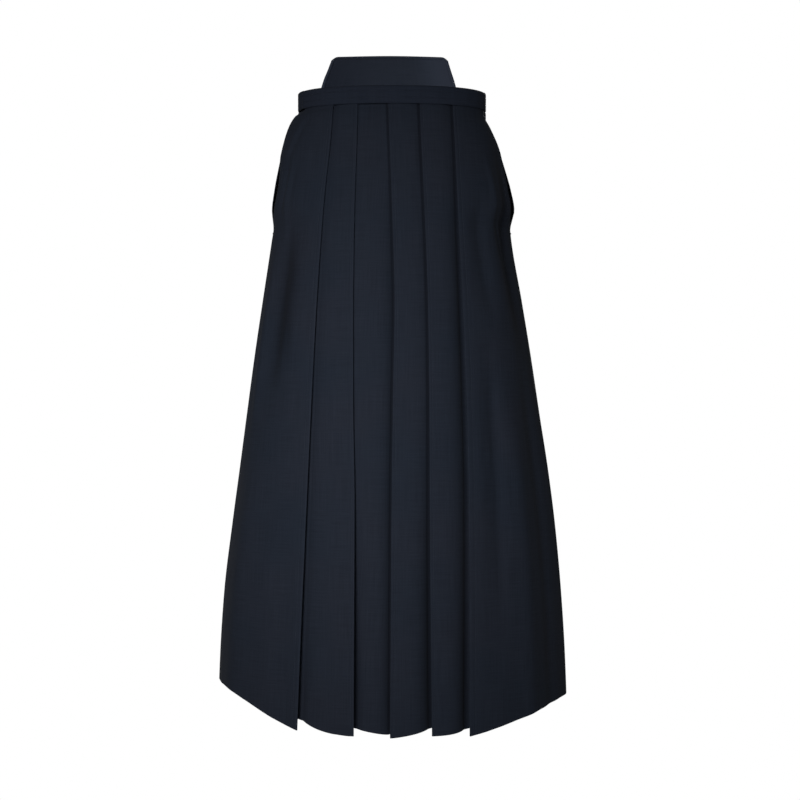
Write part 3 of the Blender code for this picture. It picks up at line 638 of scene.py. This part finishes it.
side_right = side_line(-1, False, RIGHT_CORNER)
side_left = side_line(1, False, LEFT_CORNER)
pleat_a, pleat_b, pleat_d, pleat_e = (pleat(fold) for fold in (A, B, D, E))
panel_1 = flipped(corner_panel(pleat_a[0], A, side_right, 34))
panel_2 = flipped(from_fold(pleat_b[0], pleat_a[-1], 20, 1.9, B, A, 4.0))
below_c = below_line(C)
panel_3 = flipped(between(
    below_c, pleat_b[-1], 0.5 - 0.5 * np.cos(np.linspace(0.0, np.pi, 24))[1:-1],
    groove=lambda s, h: sink(C, h) * ((1.0 - s) ** 7 - (1.0 - s)) + sink(B, h) * (s ** 5 - s)))
lines = [side_right, *panel_1, *pleat_a]
mark_a = len(lines) - len(pleat_a) + EDGE_MIDDLE
lines += [*panel_2, *pleat_b]
mark_b = len(lines) - len(pleat_b) + EDGE_MIDDLE
lines += [*panel_3, *under_fold(C, below_c, CENTRE_SEAM_HEM)]
add_leg(
    "front_right_leg_panels", "front_right_leg", lines,
    ((0, mark_a), (mark_a + TO_TUCK, mark_b)), FRONT_TOP, "first",
    painted_shade_valleys=(len(lines) - 5,))

lines, mark_c = folded_edge(C, CENTRE_SEAM_HEM)
panel_4 = from_fold(lines[-1], pleat_d[-1], 20, 1.2, C, D, 4.0)
panel_5 = from_fold(pleat_d[0], pleat_e[-1], 20, 1.9, D, E, 4.0)
panel_6 = corner_panel(pleat_e[0], E, side_left, 34)
lines += [*panel_4, *flipped(pleat_d)]
mark_d, valley_d = len(lines) - 1 - EDGE_MIDDLE, len(lines) - len(pleat_d)
lines += [*panel_5, *flipped(pleat_e)]
mark_e, valley_e = len(lines) - 1 - EDGE_MIDDLE, len(lines) - len(pleat_e)
lines += [*panel_6, side_left]
add_leg(
    "front_left_leg_panels", "front_left_leg", lines,
    ((0, mark_c), (mark_d - TO_TUCK, mark_d), (mark_e - TO_TUCK, mark_e)), FRONT_TOP, "last",
    0.0, (valley_d, valley_e))

lines, mark_back = folded_edge(BACK, HEMS[BACK][0])
back_right_side = side_line(-1, True, RIGHT_CORNER)
back_panel = from_fold(lines[-1], back_right_side, 46, 1.0, BACK)
lines += [*back_panel, back_right_side]
add_leg(
    "back_right_leg_panel", "back_right_leg", lines, ((0, mark_back),), BACK_TOP, "last")

below_back = below_line(BACK)
back_left_side = side_line(1, True, LEFT_CORNER)
left_panel = between(back_left_side, below_back, np.linspace(0.0, 1.0, 52)[1:-1])
lines = [back_left_side, *left_panel, *under_fold(BACK, below_back, HEMS[BACK][1])]
add_leg(
    "back_left_leg_panel", "back_left_leg", lines, ((0, len(lines) - 5),), BACK_TOP, "first")
# The line of each panel 4 mm from its fold, which the stitches follow, and their top
pleat_edges = [(line, FRONT_TOP - 0.027) for line in (
    panel_1[-4], panel_2[-4], panel_4[3], panel_5[3], panel_6[3])]
pleat_edges.append((back_panel[3], BACK_TOP - 0.008))
# The free side edges, a line of the panel near each, and the top of its stitches
slit_edges = [
    (side_right, panel_1[4], -0.018), (side_left, panel_6[-5], -0.018),
    (back_right_side, back_panel[-5], -0.030), (back_left_side, left_panel[4], -0.030),
]


# Inner legs and gusset. Each leg closes on itself down the middle; the two inner walls are
# sewn to the centre seams in front and behind, and a folded strip joins them at the crotch.
def split_point(share, offset, height):
    """Point of an inner wall: share runs from the front seam to the back seam."""
    ends = []
    for fold, past, inner_ply in ((C, offset, offset <= 0.0), (BACK, -offset, offset >= 0.0)):
        one = centre_ply(fold, past, True, height)
        two = centre_ply(fold, past, False, height)
        turn = np.where(inner_ply, one[0], two[0])
        cover = np.where(inner_ply, one[1], two[1])
        ends.append(ring_point(turn, height, cover + 0.0008))
    share = np.asarray(share)[..., None]
    point = ends[0] * (1.0 - share) + ends[1] * share
    point[..., 0] += 0.007 * np.sin(2.0 * np.pi * share[..., 0]) * down(height)
    point[..., 0] += 0.004 * np.sin(5.0 * np.pi * share[..., 0] + 1.0) * ease((-0.6 - height) / 0.3)
    return point


def inner_leg(name, node_name, side):
    share = np.linspace(0.0, 1.0, 60)
    hems = CENTRE_SEAM_HEM + (HEMS[BACK][1] - CENTRE_SEAM_HEM) * share + 0.004
    heights = np.stack([levels(GUSSET_BOTTOM + 0.004, hem) for hem in hems], axis=1)
    rows = split_point(np.broadcast_to(share, heights.shape), 0.5 * side * leg_split(heights), heights)
    thick = np.where(heights < hems + HEM_TURN, TURNED_EDGE, HALF_CLOTH)
    run = np.broadcast_to(share * 0.36, heights.shape)
    piece = add_cloth(name, rows, HALF_CLOTH, thick, run, heights, 0.0 * heights, leg_twill)
    dress(piece, node_name)
    return piece


inner_leg("inner_right_leg_wall", "inner_right_leg", -1)
inner_leg("inner_left_leg_wall", "inner_left_leg", 1)


def add_sweep(name, sections, material, flat_x=None, painted_light=None):
    """Closed body through equal loops of points, with a flat end at each side."""
    count, loop = sections.shape[:2]
    number = np.arange(count * loop).reshape(count, loop)
    turned = np.roll(number, -1, axis=1)
    faces = np.stack((number[:-1], turned[:-1], turned[1:], number[1:]), axis=-1).reshape(-1, 4)
    girth = np.linalg.norm(np.diff(sections[0], axis=0, append=sections[0][:1]), axis=-1)
    around = np.concatenate(([0.0], np.cumsum(girth)[:-1]))
    if flat_x is None:
        steps = lengths(sections[:, 0])
        flat_x = np.concatenate(([0.0], np.cumsum(steps)))
    uvs = np.stack((np.repeat(flat_x, loop), np.tile(around, count)), axis=1)
    ends = [number[0, ::-1].tolist(), number[-1].tolist()]
    return add_mesh(name, sections.reshape(-1, 3), faces.tolist() + ends, material, uvs, painted_light)


share = np.linspace(0.0, 1.0, 60)
middle = 0.5 * 0.006
loop = []
for radius, way in ((middle + HALF_CLOTH, 1), (middle - HALF_CLOTH, -1)):
    arc = np.linspace(np.pi, 0.0, 11)
    side_path = [(-radius, h) for h in np.linspace(GUSSET_BOTTOM, CROTCH - 0.01, 6)]
    path = side_path + [(radius * math.cos(t), CROTCH - 0.00355 + radius * math.sin(t)) for t in arc]
    path += [(-x, h) for x, h in side_path[::-1]]
    loop += path[::way]
offset, height = np.array(loop).T
sections = np.stack([split_point(np.full(len(loop), s), offset, height) for s in share])
gusset = add_sweep("gusset_strip", sections, leg_twill)
dress(gusset, "gusset")


# Sewing on the legs. Navy polyester thread holds each pleat's edge in a row of lockstitch
# 4 mm from the fold, from the band to the hem, and the turned-back edges of the slits.
def sewing_thread(name, colour):
    """Twisted polyester thread: smoother than the twill, so it catches a thin light line."""
    material, tree, shader = new_material(name)
    place = node(tree, "TexCoord")
    # Twist of the plies, one turn in 0.7 mm
    ply = node(tree, "TexNoise", [(0, place.outputs[3])], in_2=1500.0, in_3=1.0)
    tone = node(tree, "Mix", [(0, ply)], data_type="RGBA")
    tone.inputs[6].default_value = hex_colour(colour)
    tone.inputs[7].default_value = hex_colour("#29303d")
    tree.links.new(tone.outputs[2], shader.inputs["Base Color"])
    shader.inputs["Roughness"].default_value = 0.5
    shader.inputs["Specular IOR Level"].default_value = 0.2
    shader.inputs["IOR"].default_value = 1.55
    return material


navy_thread = sewing_thread("twisted_polyester_thread", "#1c222d")
STITCH, STITCH_GAP, THREAD = 0.0026, 0.0006, 0.00022
STITCH_PROFILE = (
    # share of the length, share of the thread's radius, lift off the cloth in radii
    (0.0, 0.35, -0.6), (0.25, 1.0, 0.35), (0.75, 1.0, 0.35), (1.0, 0.35, -0.6),
)


def stitch_row(path, outward, length=STITCH, gap=STITCH_GAP, ends=0.002):
    """Points of the stitches in a row along a path on the cloth's face."""
    steps = lengths(path)
    run = np.concatenate(([0.0], np.cumsum(steps)))
    starts = np.arange(ends, run[-1] - length - ends + 1e-9, length + gap)

    def read(values, where):
        return np.stack([np.interp(where, run, values[:, axis]) for axis in range(3)], axis=-1)

    ahead = unit(read(path, starts + length) - read(path, starts))
    out = read(outward, starts + 0.5 * length)
    out = unit(out - ahead * np.sum(out * ahead, axis=-1, keepdims=True))
    side = np.cross(ahead, out)
    points = []
    for part, size, lift in STITCH_PROFILE:
        centre = read(path, starts + part * length) + out * THREAD * lift
        for corner in range(5):
            angle = 2.0 * math.pi * corner / 5
            points.append(centre + THREAD * size * (math.cos(angle) * side + math.sin(angle) * out))
    return np.stack(points, axis=1)


def join_stitches(name, stitches):
    """Joins stitches into one piece."""
    count = len(stitches)
    faces = []
    for ring in (0, 5, 10):
        for corner in range(5):
            after = (corner + 1) % 5
            faces.append((ring + corner, ring + after, ring + 5 + after, ring + 5 + corner))
    base = 20 * np.arange(count)[:, None, None]
    quads = (np.array(faces)[None] + base).reshape(-1, 4).tolist()
    ends = (np.array([(4, 3, 2, 1, 0), (15, 16, 17, 18, 19)])[None] + base).reshape(-1, 5).tolist()
    return add_mesh(name, stitches.reshape(-1, 3), quads + ends, navy_thread)


def add_stitches(name, rows):
    piece = join_stitches(name, np.concatenate([stitch_row(path, outward) for path, outward in rows]))


def row_down(line, top, low, lift=HALF_CLOTH):
    """Path and facing of a row of stitches down one line of a leg."""
    heights = np.linspace(top, low, 240)
    turn, inset = line[0](heights)
    path = ring_point(turn, heights, inset - lift)
    outward = ring_point(turn, heights, inset - lift - 0.01) - path
    return path, outward


def beside(side, panel, distance):
    """The line at a distance from a panel's free side edge."""
    def place(height):
        one, two = side[0](height), panel[0](height)
        gap = ring_point(*[one[0], height, one[1]]) - ring_point(*[two[0], height, two[1]])
        s = distance / np.maximum(np.linalg.norm(gap, axis=-1), 0.004)
        return one[0] + (two[0] - one[0]) * s, one[1] + (two[1] - one[1]) * s
    return place, side[1]


pleat_rows = [row_down(line, top, line[1] + 0.003) for line, top in pleat_edges]
add_stitches("pleat_edge_stitches", pleat_rows)
slit_rows = [row_down(beside(side, panel, 0.010), top, SLIT_BOTTOM) for side, panel, top in slit_edges]
add_stitches("slit_edge_stitches", slit_rows)


# Front waistband. A strip of the same twill is folded over the top of the pleats and sewn
# through in rows, so it is stiff, a little puffed between its stitches, and lighter.
BAND_RIGHT_END, BAND_LEFT_END, BAND_HALF_HEIGHT = -69.0, 80.0, 0.014
BAND_OUTER, SLOT_OUTER, SLOT_INNER, BAND_INNER = -0.00235, -0.00085, 0.0072, 0.0087
BAND_ROWS = (0.0052, -0.0050)
band_twill = navy_twill("navy_twill_folded_band", "#1b1e27", "#2c313d", wale=0.0010, lean=1.1)


def drawn_in(height, rows, depth=0.0004):
    """How far rows of stitches draw in the face of a folded strip."""
    return sum(depth * np.exp(-((height - row) / 0.0007) ** 2) for row in rows)


def face_levels(low, high, rows):
    """Heights across a strip's face, close together beside its rows of stitches."""
    close = [row + step for row in rows for step in (-0.0016, -0.0008, 0.0, 0.0008, 0.0016)]
    return np.unique(np.round(np.concatenate((np.linspace(low, high, 9), close)), 6))


def waist_sweep(name, turns, loop_at, material):
    """A strip round the waist from its loops of inset and height."""
    sections = []
    for turn in turns:
        inset, height = loop_at(turn)
        level = ring_point(turn, 0.0 * height, inset, hangs=False)
        level[:, 2] = height
        sections.append(level)
    return add_sweep(name, np.stack(sections), material)


def band_loop(turn):
    heights = face_levels(-BAND_HALF_HEIGHT + 0.0012, BAND_HALF_HEIGHT - 0.003, BAND_ROWS)
    puff = 0.0007 * (1.0 - (heights / BAND_HALF_HEIGHT) ** 2) * (1.0 + 0.35 * math.sin(31.0 * turn))
    outer = BAND_OUTER - puff + drawn_in(heights, BAND_ROWS, 0.0006)
    across = np.linspace(-0.98, 0.98, 12)
    over_x = 0.5 * (BAND_OUTER + BAND_INNER) + 0.5 * (BAND_INNER - BAND_OUTER) * across
    over_z = BAND_HALF_HEIGHT - 0.0028 * np.abs(across) ** 4
    inside = np.linspace(BAND_HALF_HEIGHT - 0.003, -BAND_HALF_HEIGHT + 0.001, 8)
    low = -BAND_HALF_HEIGHT
    inset = np.concatenate((
        (SLOT_OUTER, SLOT_OUTER, BAND_OUTER + 0.0004), outer, over_x, np.full(8, BAND_INNER),
        (BAND_INNER - 0.0004, SLOT_INNER, SLOT_INNER, SLOT_OUTER)))
    height = np.concatenate((
        (0.0, low + 0.0002, low), heights, over_z, inside,
        (low, low + 0.0002, BAND_HALF_HEIGHT - 0.0015, BAND_HALF_HEIGHT - 0.0015)))
    return inset[::-1], height[::-1]


def spread(first, last, steps):
    return np.radians(np.linspace(first, last, steps + 1))


def row_round(turns, height, inset_at):
    """Path and facing of a row of stitches round the waist."""
    insets = np.array([inset_at(turn) for turn in turns])
    path = ring_point(turns, 0.0 * turns, insets, hangs=False)
    outward = ring_point(turns, 0.0 * turns, insets - 0.01, hangs=False) - path
    path[:, 2] = height
    return path, outward


band_turns = spread(BAND_RIGHT_END, BAND_LEFT_END, 150)
band = waist_sweep("front_waistband_fold", band_turns, band_loop, band_twill)
dress(band, "front_waistband")
band_rows = [row_round(band_turns, row, lambda turn: BAND_OUTER - 0.0002) for row in BAND_ROWS]
add_stitches("front_waistband_stitches", band_rows)


# Ties. The front ones are the band's own strip, carried on round both sides to the knot;
# the back ones leave the board's corners and are tucked in behind the front corners.
FRONT_TIE_INSET = np.array(((60.0, -0.00035), (92.0, -0.00035), (116.0, 0.0134), (180.0, 0.0134)))
BACK_TIE_INSET = np.array((
    (81.0, 0.0028), (89.0, -0.0006), (94.0, -0.0006), (104.0, 0.0030), (117.0, 0.0126), (180.0, 0.0126)))


def tie_inset(table, turn):
    degrees = np.abs(np.degrees(turn))
    i = int(np.clip(np.searchsorted(table[:, 0], degrees) - 1, 0, len(table) - 2))
    share = (degrees - table[i, 0]) / (table[i + 1, 0] - table[i, 0])
    return table[i, 1] + (table[i + 1, 1] - table[i, 1]) * float(ease(share))


def add_tie(name, node_name, table, thick, low, high, rows, turns):
    """A folded and sewn strip with rounded edges, and its rows of stitches on both faces."""
    half = 0.5 * thick

    def loop_at(turn):
        middle = tie_inset(table, turn)
        heights = face_levels(low + half, high - half, rows)
        puff = 0.92 + 0.06 * math.sin(37.0 * turn)
        face = half * puff - drawn_in(heights, rows, 0.00035)
        arc = np.linspace(0.0, np.pi, 7)[1:-1]
        inset = np.concatenate((
            middle - face, middle - half * 0.92 * np.cos(arc),
            middle + face[::-1], middle + half * 0.92 * np.cos(arc)))
        height = np.concatenate((
            heights, high - half + half * np.sin(arc),
            heights[::-1], low + half - half * np.sin(arc)))
        return inset[::-1], height[::-1]

    piece = waist_sweep(name, turns, loop_at, band_twill)
    dress(piece, node_name)
    stitched = []
    for face in (-0.9 * half, 0.9 * half):
        for row in rows:
            path, outward = row_round(turns, row, lambda turn: tie_inset(table, turn) + face)
            stitched.append((path, outward if face < 0.0 else -outward))
    add_stitches(name + "_stitches", stitched)


gap = math.degrees(0.0003 / 0.1435)
tie_rows = (0.0052, -0.0050)
for side, turns in (("right", spread(-171.0, BAND_RIGHT_END - gap, 110)),
                    ("left", spread(BAND_LEFT_END + gap, 171.0, 110))):
    add_tie("front_tie_" + side + "_strip", "front_tie_" + side, FRONT_TIE_INSET,
            0.0040, -0.014, 0.014, tie_rows, turns)
for side, turns in (("right", spread(-132.0, -56.0, 90)), ("left", spread(61.0, 132.0, 90))):
    add_tie("back_tie_" + side + "_strip", "back_tie_" + side, BACK_TIE_INSET,
            0.0030, -0.040, -0.015, (-0.0185, -0.0365), turns)


# Knot of the front ties, a flat square knot behind the waist inside the board: the ends
# wrap once over the crossing and are tucked away flat.
def squared(value, power):
    """A sine or cosine pushed out towards a square's sides."""
    return math.copysign(abs(value) ** power, value)


def wrap_loop(centre, wide, deep, tall, lean, cloth=0.0022):
    """A flat strip wound once round the crossing, as loops along its way round."""
    loops = []
    for angle in np.linspace(0.0, 2.0 * np.pi, 41):
        up = squared(math.sin(angle), 0.6)
        out = squared(math.cos(angle), 0.6)
        section = []
        for corner in np.linspace(0.0, 2.0 * np.pi, 17)[:-1]:
            along_x = 0.5 * wide * squared(math.cos(corner), 0.35)
            thick = 0.5 * cloth * squared(math.sin(corner), 0.8)
            pinch = 1.0 - 0.12 * abs(math.sin(angle))
            section.append(centre + np.array((
                along_x * pinch + lean * up * tall,
                (0.5 * deep - 0.5 * cloth + thick) * out,
                (0.5 * tall - 0.5 * cloth + thick) * up + 0.2 * lean * along_x)))
        loops.append(section)
    return np.array(loops)


knot_centre = ring_point(np.array([np.pi]), np.array([0.0]), 0.0172, hangs=False)[0]
knot = add_sweep("front_tie_knot_wrap", wrap_loop(knot_centre, 0.019, 0.0108, 0.0335, 0.0), band_twill)
dress(knot, "front_tie_knot")
for name, side, lean in (("front_tie_knot_end_right", -1, 0.16), ("front_tie_knot_end_left", 1, -0.16)):
    piece = add_sweep(
        name, wrap_loop(knot_centre + np.array((0.0115 * side, 0.0, 0.0)), 0.0125, 0.0092, 0.030, lean),
        band_twill)


# Koshiita: a stiff board of pressed card at the back waist, covered on both faces with
# smooth navy twill drawn tight, with a rolled edge and a row of stitches inside it.
BOARD_BOTTOM, BOARD_TOP, BOARD_HALF = -0.030, 0.0885, 0.0025
# About half the board's width, about its height, and how far in its stitches are, as a share
BOARD_HALF_WIDE, BOARD_TALL, RIM_IN = 0.105, 0.118, 0.044
BOARD_SIDES = np.array((
    # height, right and left edge
    (-0.030, -0.1240, 0.1120), (0.020, -0.1200, 0.1090), (0.044, -0.1140, 0.1037),
    (0.063, -0.1065, 0.0976), (0.076, -0.1016, 0.0937), (0.092, -0.0955, 0.0890),
))
# Smoother than the legs' twill, which is real; its lighter colours and stronger painted light layer are
# painted light, for the board's brighter look in the light
board_twill = navy_twill(
    "smooth_navy_twill_on_board", "#1f232d", "#3e4351", wale=0.0008, lean=1.0, slub=0.3,
    painted_light_strength=0.5, rough=0.60, gloss=0.05)


def board_top(across):
    past = np.maximum(0.0, np.abs(across) - 0.90) / 0.10
    return BOARD_TOP - 0.005 * across ** 2 - 0.006 * past ** 2.5


def board_point(across, up, offset):
    """Point of the board: across from its right edge, -1, to its left, 1, and up from its base."""
    height = BOARD_BOTTOM + (board_top(across) - BOARD_BOTTOM) * up
    level = (height - BOARD_BOTTOM) / (BOARD_TOP - BOARD_BOTTOM)
    right, left = along(BOARD_SIDES, 1, height), along(BOARD_SIDES, 2, height)
    x = right + (left - right) * (0.5 + 0.5 * across)
    point = ring_point(turn_at(x, 0.0 * x, True), 0.0 * x, 0.0075 + 0.003 * level + offset, hangs=False)
    point[..., 2] = height
    side_gap = (1.0 - np.abs(across)) * 0.5 * (left - right)
    edge = np.minimum(side_gap, np.minimum(up, 1.0 - up) * (board_top(across) - BOARD_BOTTOM))
    return point, edge


edge_steps = np.array((0.0, 0.0003, 0.0008, 0.0015, 0.0025, 0.0036, 0.0041, 0.0046, 0.0052, 0.0066))
near = edge_steps / BOARD_HALF_WIDE
across = np.concatenate((-1.0 + near, np.linspace(-0.91, 0.91, 44), (1.0 - near)[::-1]))
near = edge_steps / BOARD_TALL
up = np.concatenate((near, np.linspace(0.085, 0.915, 24), (1.0 - near)[::-1]))
across, up = np.meshgrid(across, up)
edge = board_point(across, up, 0.0 * across)[1]
bulge = BOARD_HALF * np.sqrt(1.0 - (1.0 - np.minimum(edge / BOARD_HALF, 1.0)) ** 2)
bulge = bulge + 0.0004 * ease(edge / 0.03) - 0.0004 * np.exp(-((edge - 0.0046) / 0.0007) ** 2)
outer = board_point(across, up, -bulge)[0]
inner = board_point(across, up, bulge)[0]
tall, wide = across.shape
number = np.arange(tall * wide).reshape(tall, wide)
quads = np.stack((number[:-1, :-1], number[:-1, 1:], number[1:, 1:], number[1:, :-1]), -1).reshape(-1, 4)
faces = np.concatenate((quads[:, ::-1], quads + tall * wide))
points = np.concatenate((outer.reshape(-1, 3), inner.reshape(-1, 3)))
flat = np.stack((across.ravel() * BOARD_HALF_WIDE, outer[..., 2].ravel()), axis=1)
# Painted highlight along the board's rolled edge, and one that grows towards its left end, which faces
# the light
pressed = np.exp(-((edge - 0.0008) / 0.0012) ** 2) + 1.2 * ease((across - 0.30) / 0.65)
pressed = np.tile(pressed.ravel(), 2)
board = add_mesh("koshiita_board", points, faces, board_twill, np.concatenate((flat, flat)), pressed)
welded = board.modifiers.new("rolled edge", "WELD")
welded.merge_threshold = 0.00002
dress(board, "koshiita")
rim = [(-1.0 + RIM_IN, u) for u in np.linspace(0.04, 0.96, 30)]
rim += [(a, 0.961) for a in np.linspace(-0.95, 0.95, 60)]
rim += [(1.0 - RIM_IN, u) for u in np.linspace(0.96, 0.04, 30)]
rim_across, rim_up = np.array(rim).T
rim_rows = []
for face in (-1.0, 1.0):
    path = board_point(rim_across, rim_up, 0.0 * rim_up + face * (BOARD_HALF + 0.0001))[0]
    beyond = board_point(rim_across, rim_up, 0.0 * rim_up + face * (BOARD_HALF + 0.0101))[0]
    rim_rows.append((path, beyond - path))
add_stitches("koshiita_edge_stitches", rim_rows)


# Back waistband: a flat strip of twill that covers the seam between the board's foot and
# the back panels, sewn down along both its edges.
back_middle, back_thick = -0.00175, 0.0018
back_table = np.array(((0.0, back_middle), (181.0, back_middle)))
back_band_rows = (0.0040, -0.0140)
add_tie("back_waistband_strip", "back_waistband", back_table, back_thick, -0.016, 0.006,
        back_band_rows, spread(124.0, 236.0, 110))


# Bar tacks. Close satin stitches over a few long threads, where each side slit ends, so
# that the seam below it can't tear open.
def bar_tack(name, node_name, side):
    height = SLIT_BOTTOM - 0.006
    out = np.array(((side, 0.0, 0.0), (side, 0.0, 0.0)), float)

    def on_seam(y, up, lift):
        level = np.full(np.shape(y), height) + up
        deep = np.where(y < 0.0, along(RING, 3, level), along(RING, 4, level))
        lean = np.arccos((np.abs(y) / deep) ** (ROUNDNESS / 2.0))
        turn = side * np.where(y < 0.0, lean, np.pi - lean)
        return ring_point(turn, level, -lift)

    stitches = []
    for y in np.linspace(-0.0047, 0.0047, 24):
        path = on_seam(np.array((y, y + 0.0002)), np.array((-0.0013, 0.0013)), 0.0009)
        stitches.append(stitch_row(path, out, 0.0024, 0.01, 0.0))
    for up in (-0.0006, 0.0, 0.0006):
        path = on_seam(np.array((-0.005, 0.005)), np.array((up, up)), 0.0005)
        stitches.append(stitch_row(path, out, 0.0098, 0.01, 0.0))
    dress(join_stitches(name, np.concatenate(stitches)), node_name)


bar_tack("slit_bar_tack_right", "slit_tack_right", -1)
bar_tack("slit_bar_tack_left", "slit_tack_left", 1)


# Studio: a pale paper floor well below the hem, white air all round, one soft light in
# front at the viewer's left, as in the photograph, and one behind at the viewer's right.
FLOOR_RADIUS, FLOOR_HEIGHT = 2.3, -1.62
studio, studio_tree, paper = new_material("white_studio_paper")
grain = node(studio_tree, "TexNoise", in_2=40.0)
shade = node(studio_tree, "MapRange", [(0, grain)], in_3=0.86, in_4=0.9)
studio_tree.links.new(shade.outputs[0], paper.inputs["Base Color"])
paper.inputs["Roughness"].default_value = 0.9
paper.inputs["Emission Color"].default_value = (1.0, 1.0, 1.0, 1.0)
# The floor too looks paler than the light that it sends up
glow = node(studio_tree, "LightPath")
glow = node(studio_tree, "MapRange", [(0, glow)], in_3=0.1, in_4=0.55)
studio_tree.links.new(glow.outputs[0], paper.inputs["Emission Strength"])
mesh = bpy.data.meshes.new("studio_floor")
rim = np.linspace(0.0, 2.0 * np.pi, 97)[:-1]
points = [(FLOOR_RADIUS * math.cos(t), FLOOR_RADIUS * math.sin(t), FLOOR_HEIGHT) for t in rim]
mesh.from_pydata(points, [], [tuple(range(96))])
mesh.materials.append(studio)
floor = add_object("studio_floor", mesh)


def soft_light(name, place, target, size, power, spread_degrees=180.0):
    light = bpy.data.lights.new(name, "AREA")
    light.shape, light.size, light.energy = "DISK", size, power
    light.spread = math.radians(spread_degrees)
    lamp = add_object(name, light)
    lamp.location = place
    lamp.rotation_euler = (Vector(target) - Vector(place)).to_track_quat("-Z", "Y").to_euler()


soft_light("key_light", (-0.62, -2.4, 0.05), (-0.05, 0.0, -0.53), 0.9, 3.4, 42.0)
soft_light("back_light", (0.5, 2.6, 0.3), (0.0, 0.0, -0.48), 1.0, 8.5, 70.0)
# The air is white to look at and lights the cloth with a ninth of that
world = bpy.data.worlds.new("studio_air")
world.use_nodes = True
air = world.node_tree
seen = node(air, "LightPath")
bright = node(air, "MapRange", [(0, seen)], in_3=0.11, in_4=1.0)
air.nodes["Background"].inputs[0].default_value = (1.0, 1.0, 1.0, 1.0)
air.links.new(bright.outputs[0], air.nodes["Background"].inputs[1])
bpy.context.scene.world = world
bpy.context.scene.view_settings.view_transform = "Standard"

camera = bpy.data.cameras.new("camera")
camera.lens, camera.sensor_width = 87.0, 36.0
camera.shift_x = 0.01
eye = add_object("camera", camera)
eye.location = (0.0, -3.0, -0.46)
eye.rotation_euler = (0.5 * math.pi, 0.0, 0.0)
bpy.context.scene.camera = eye
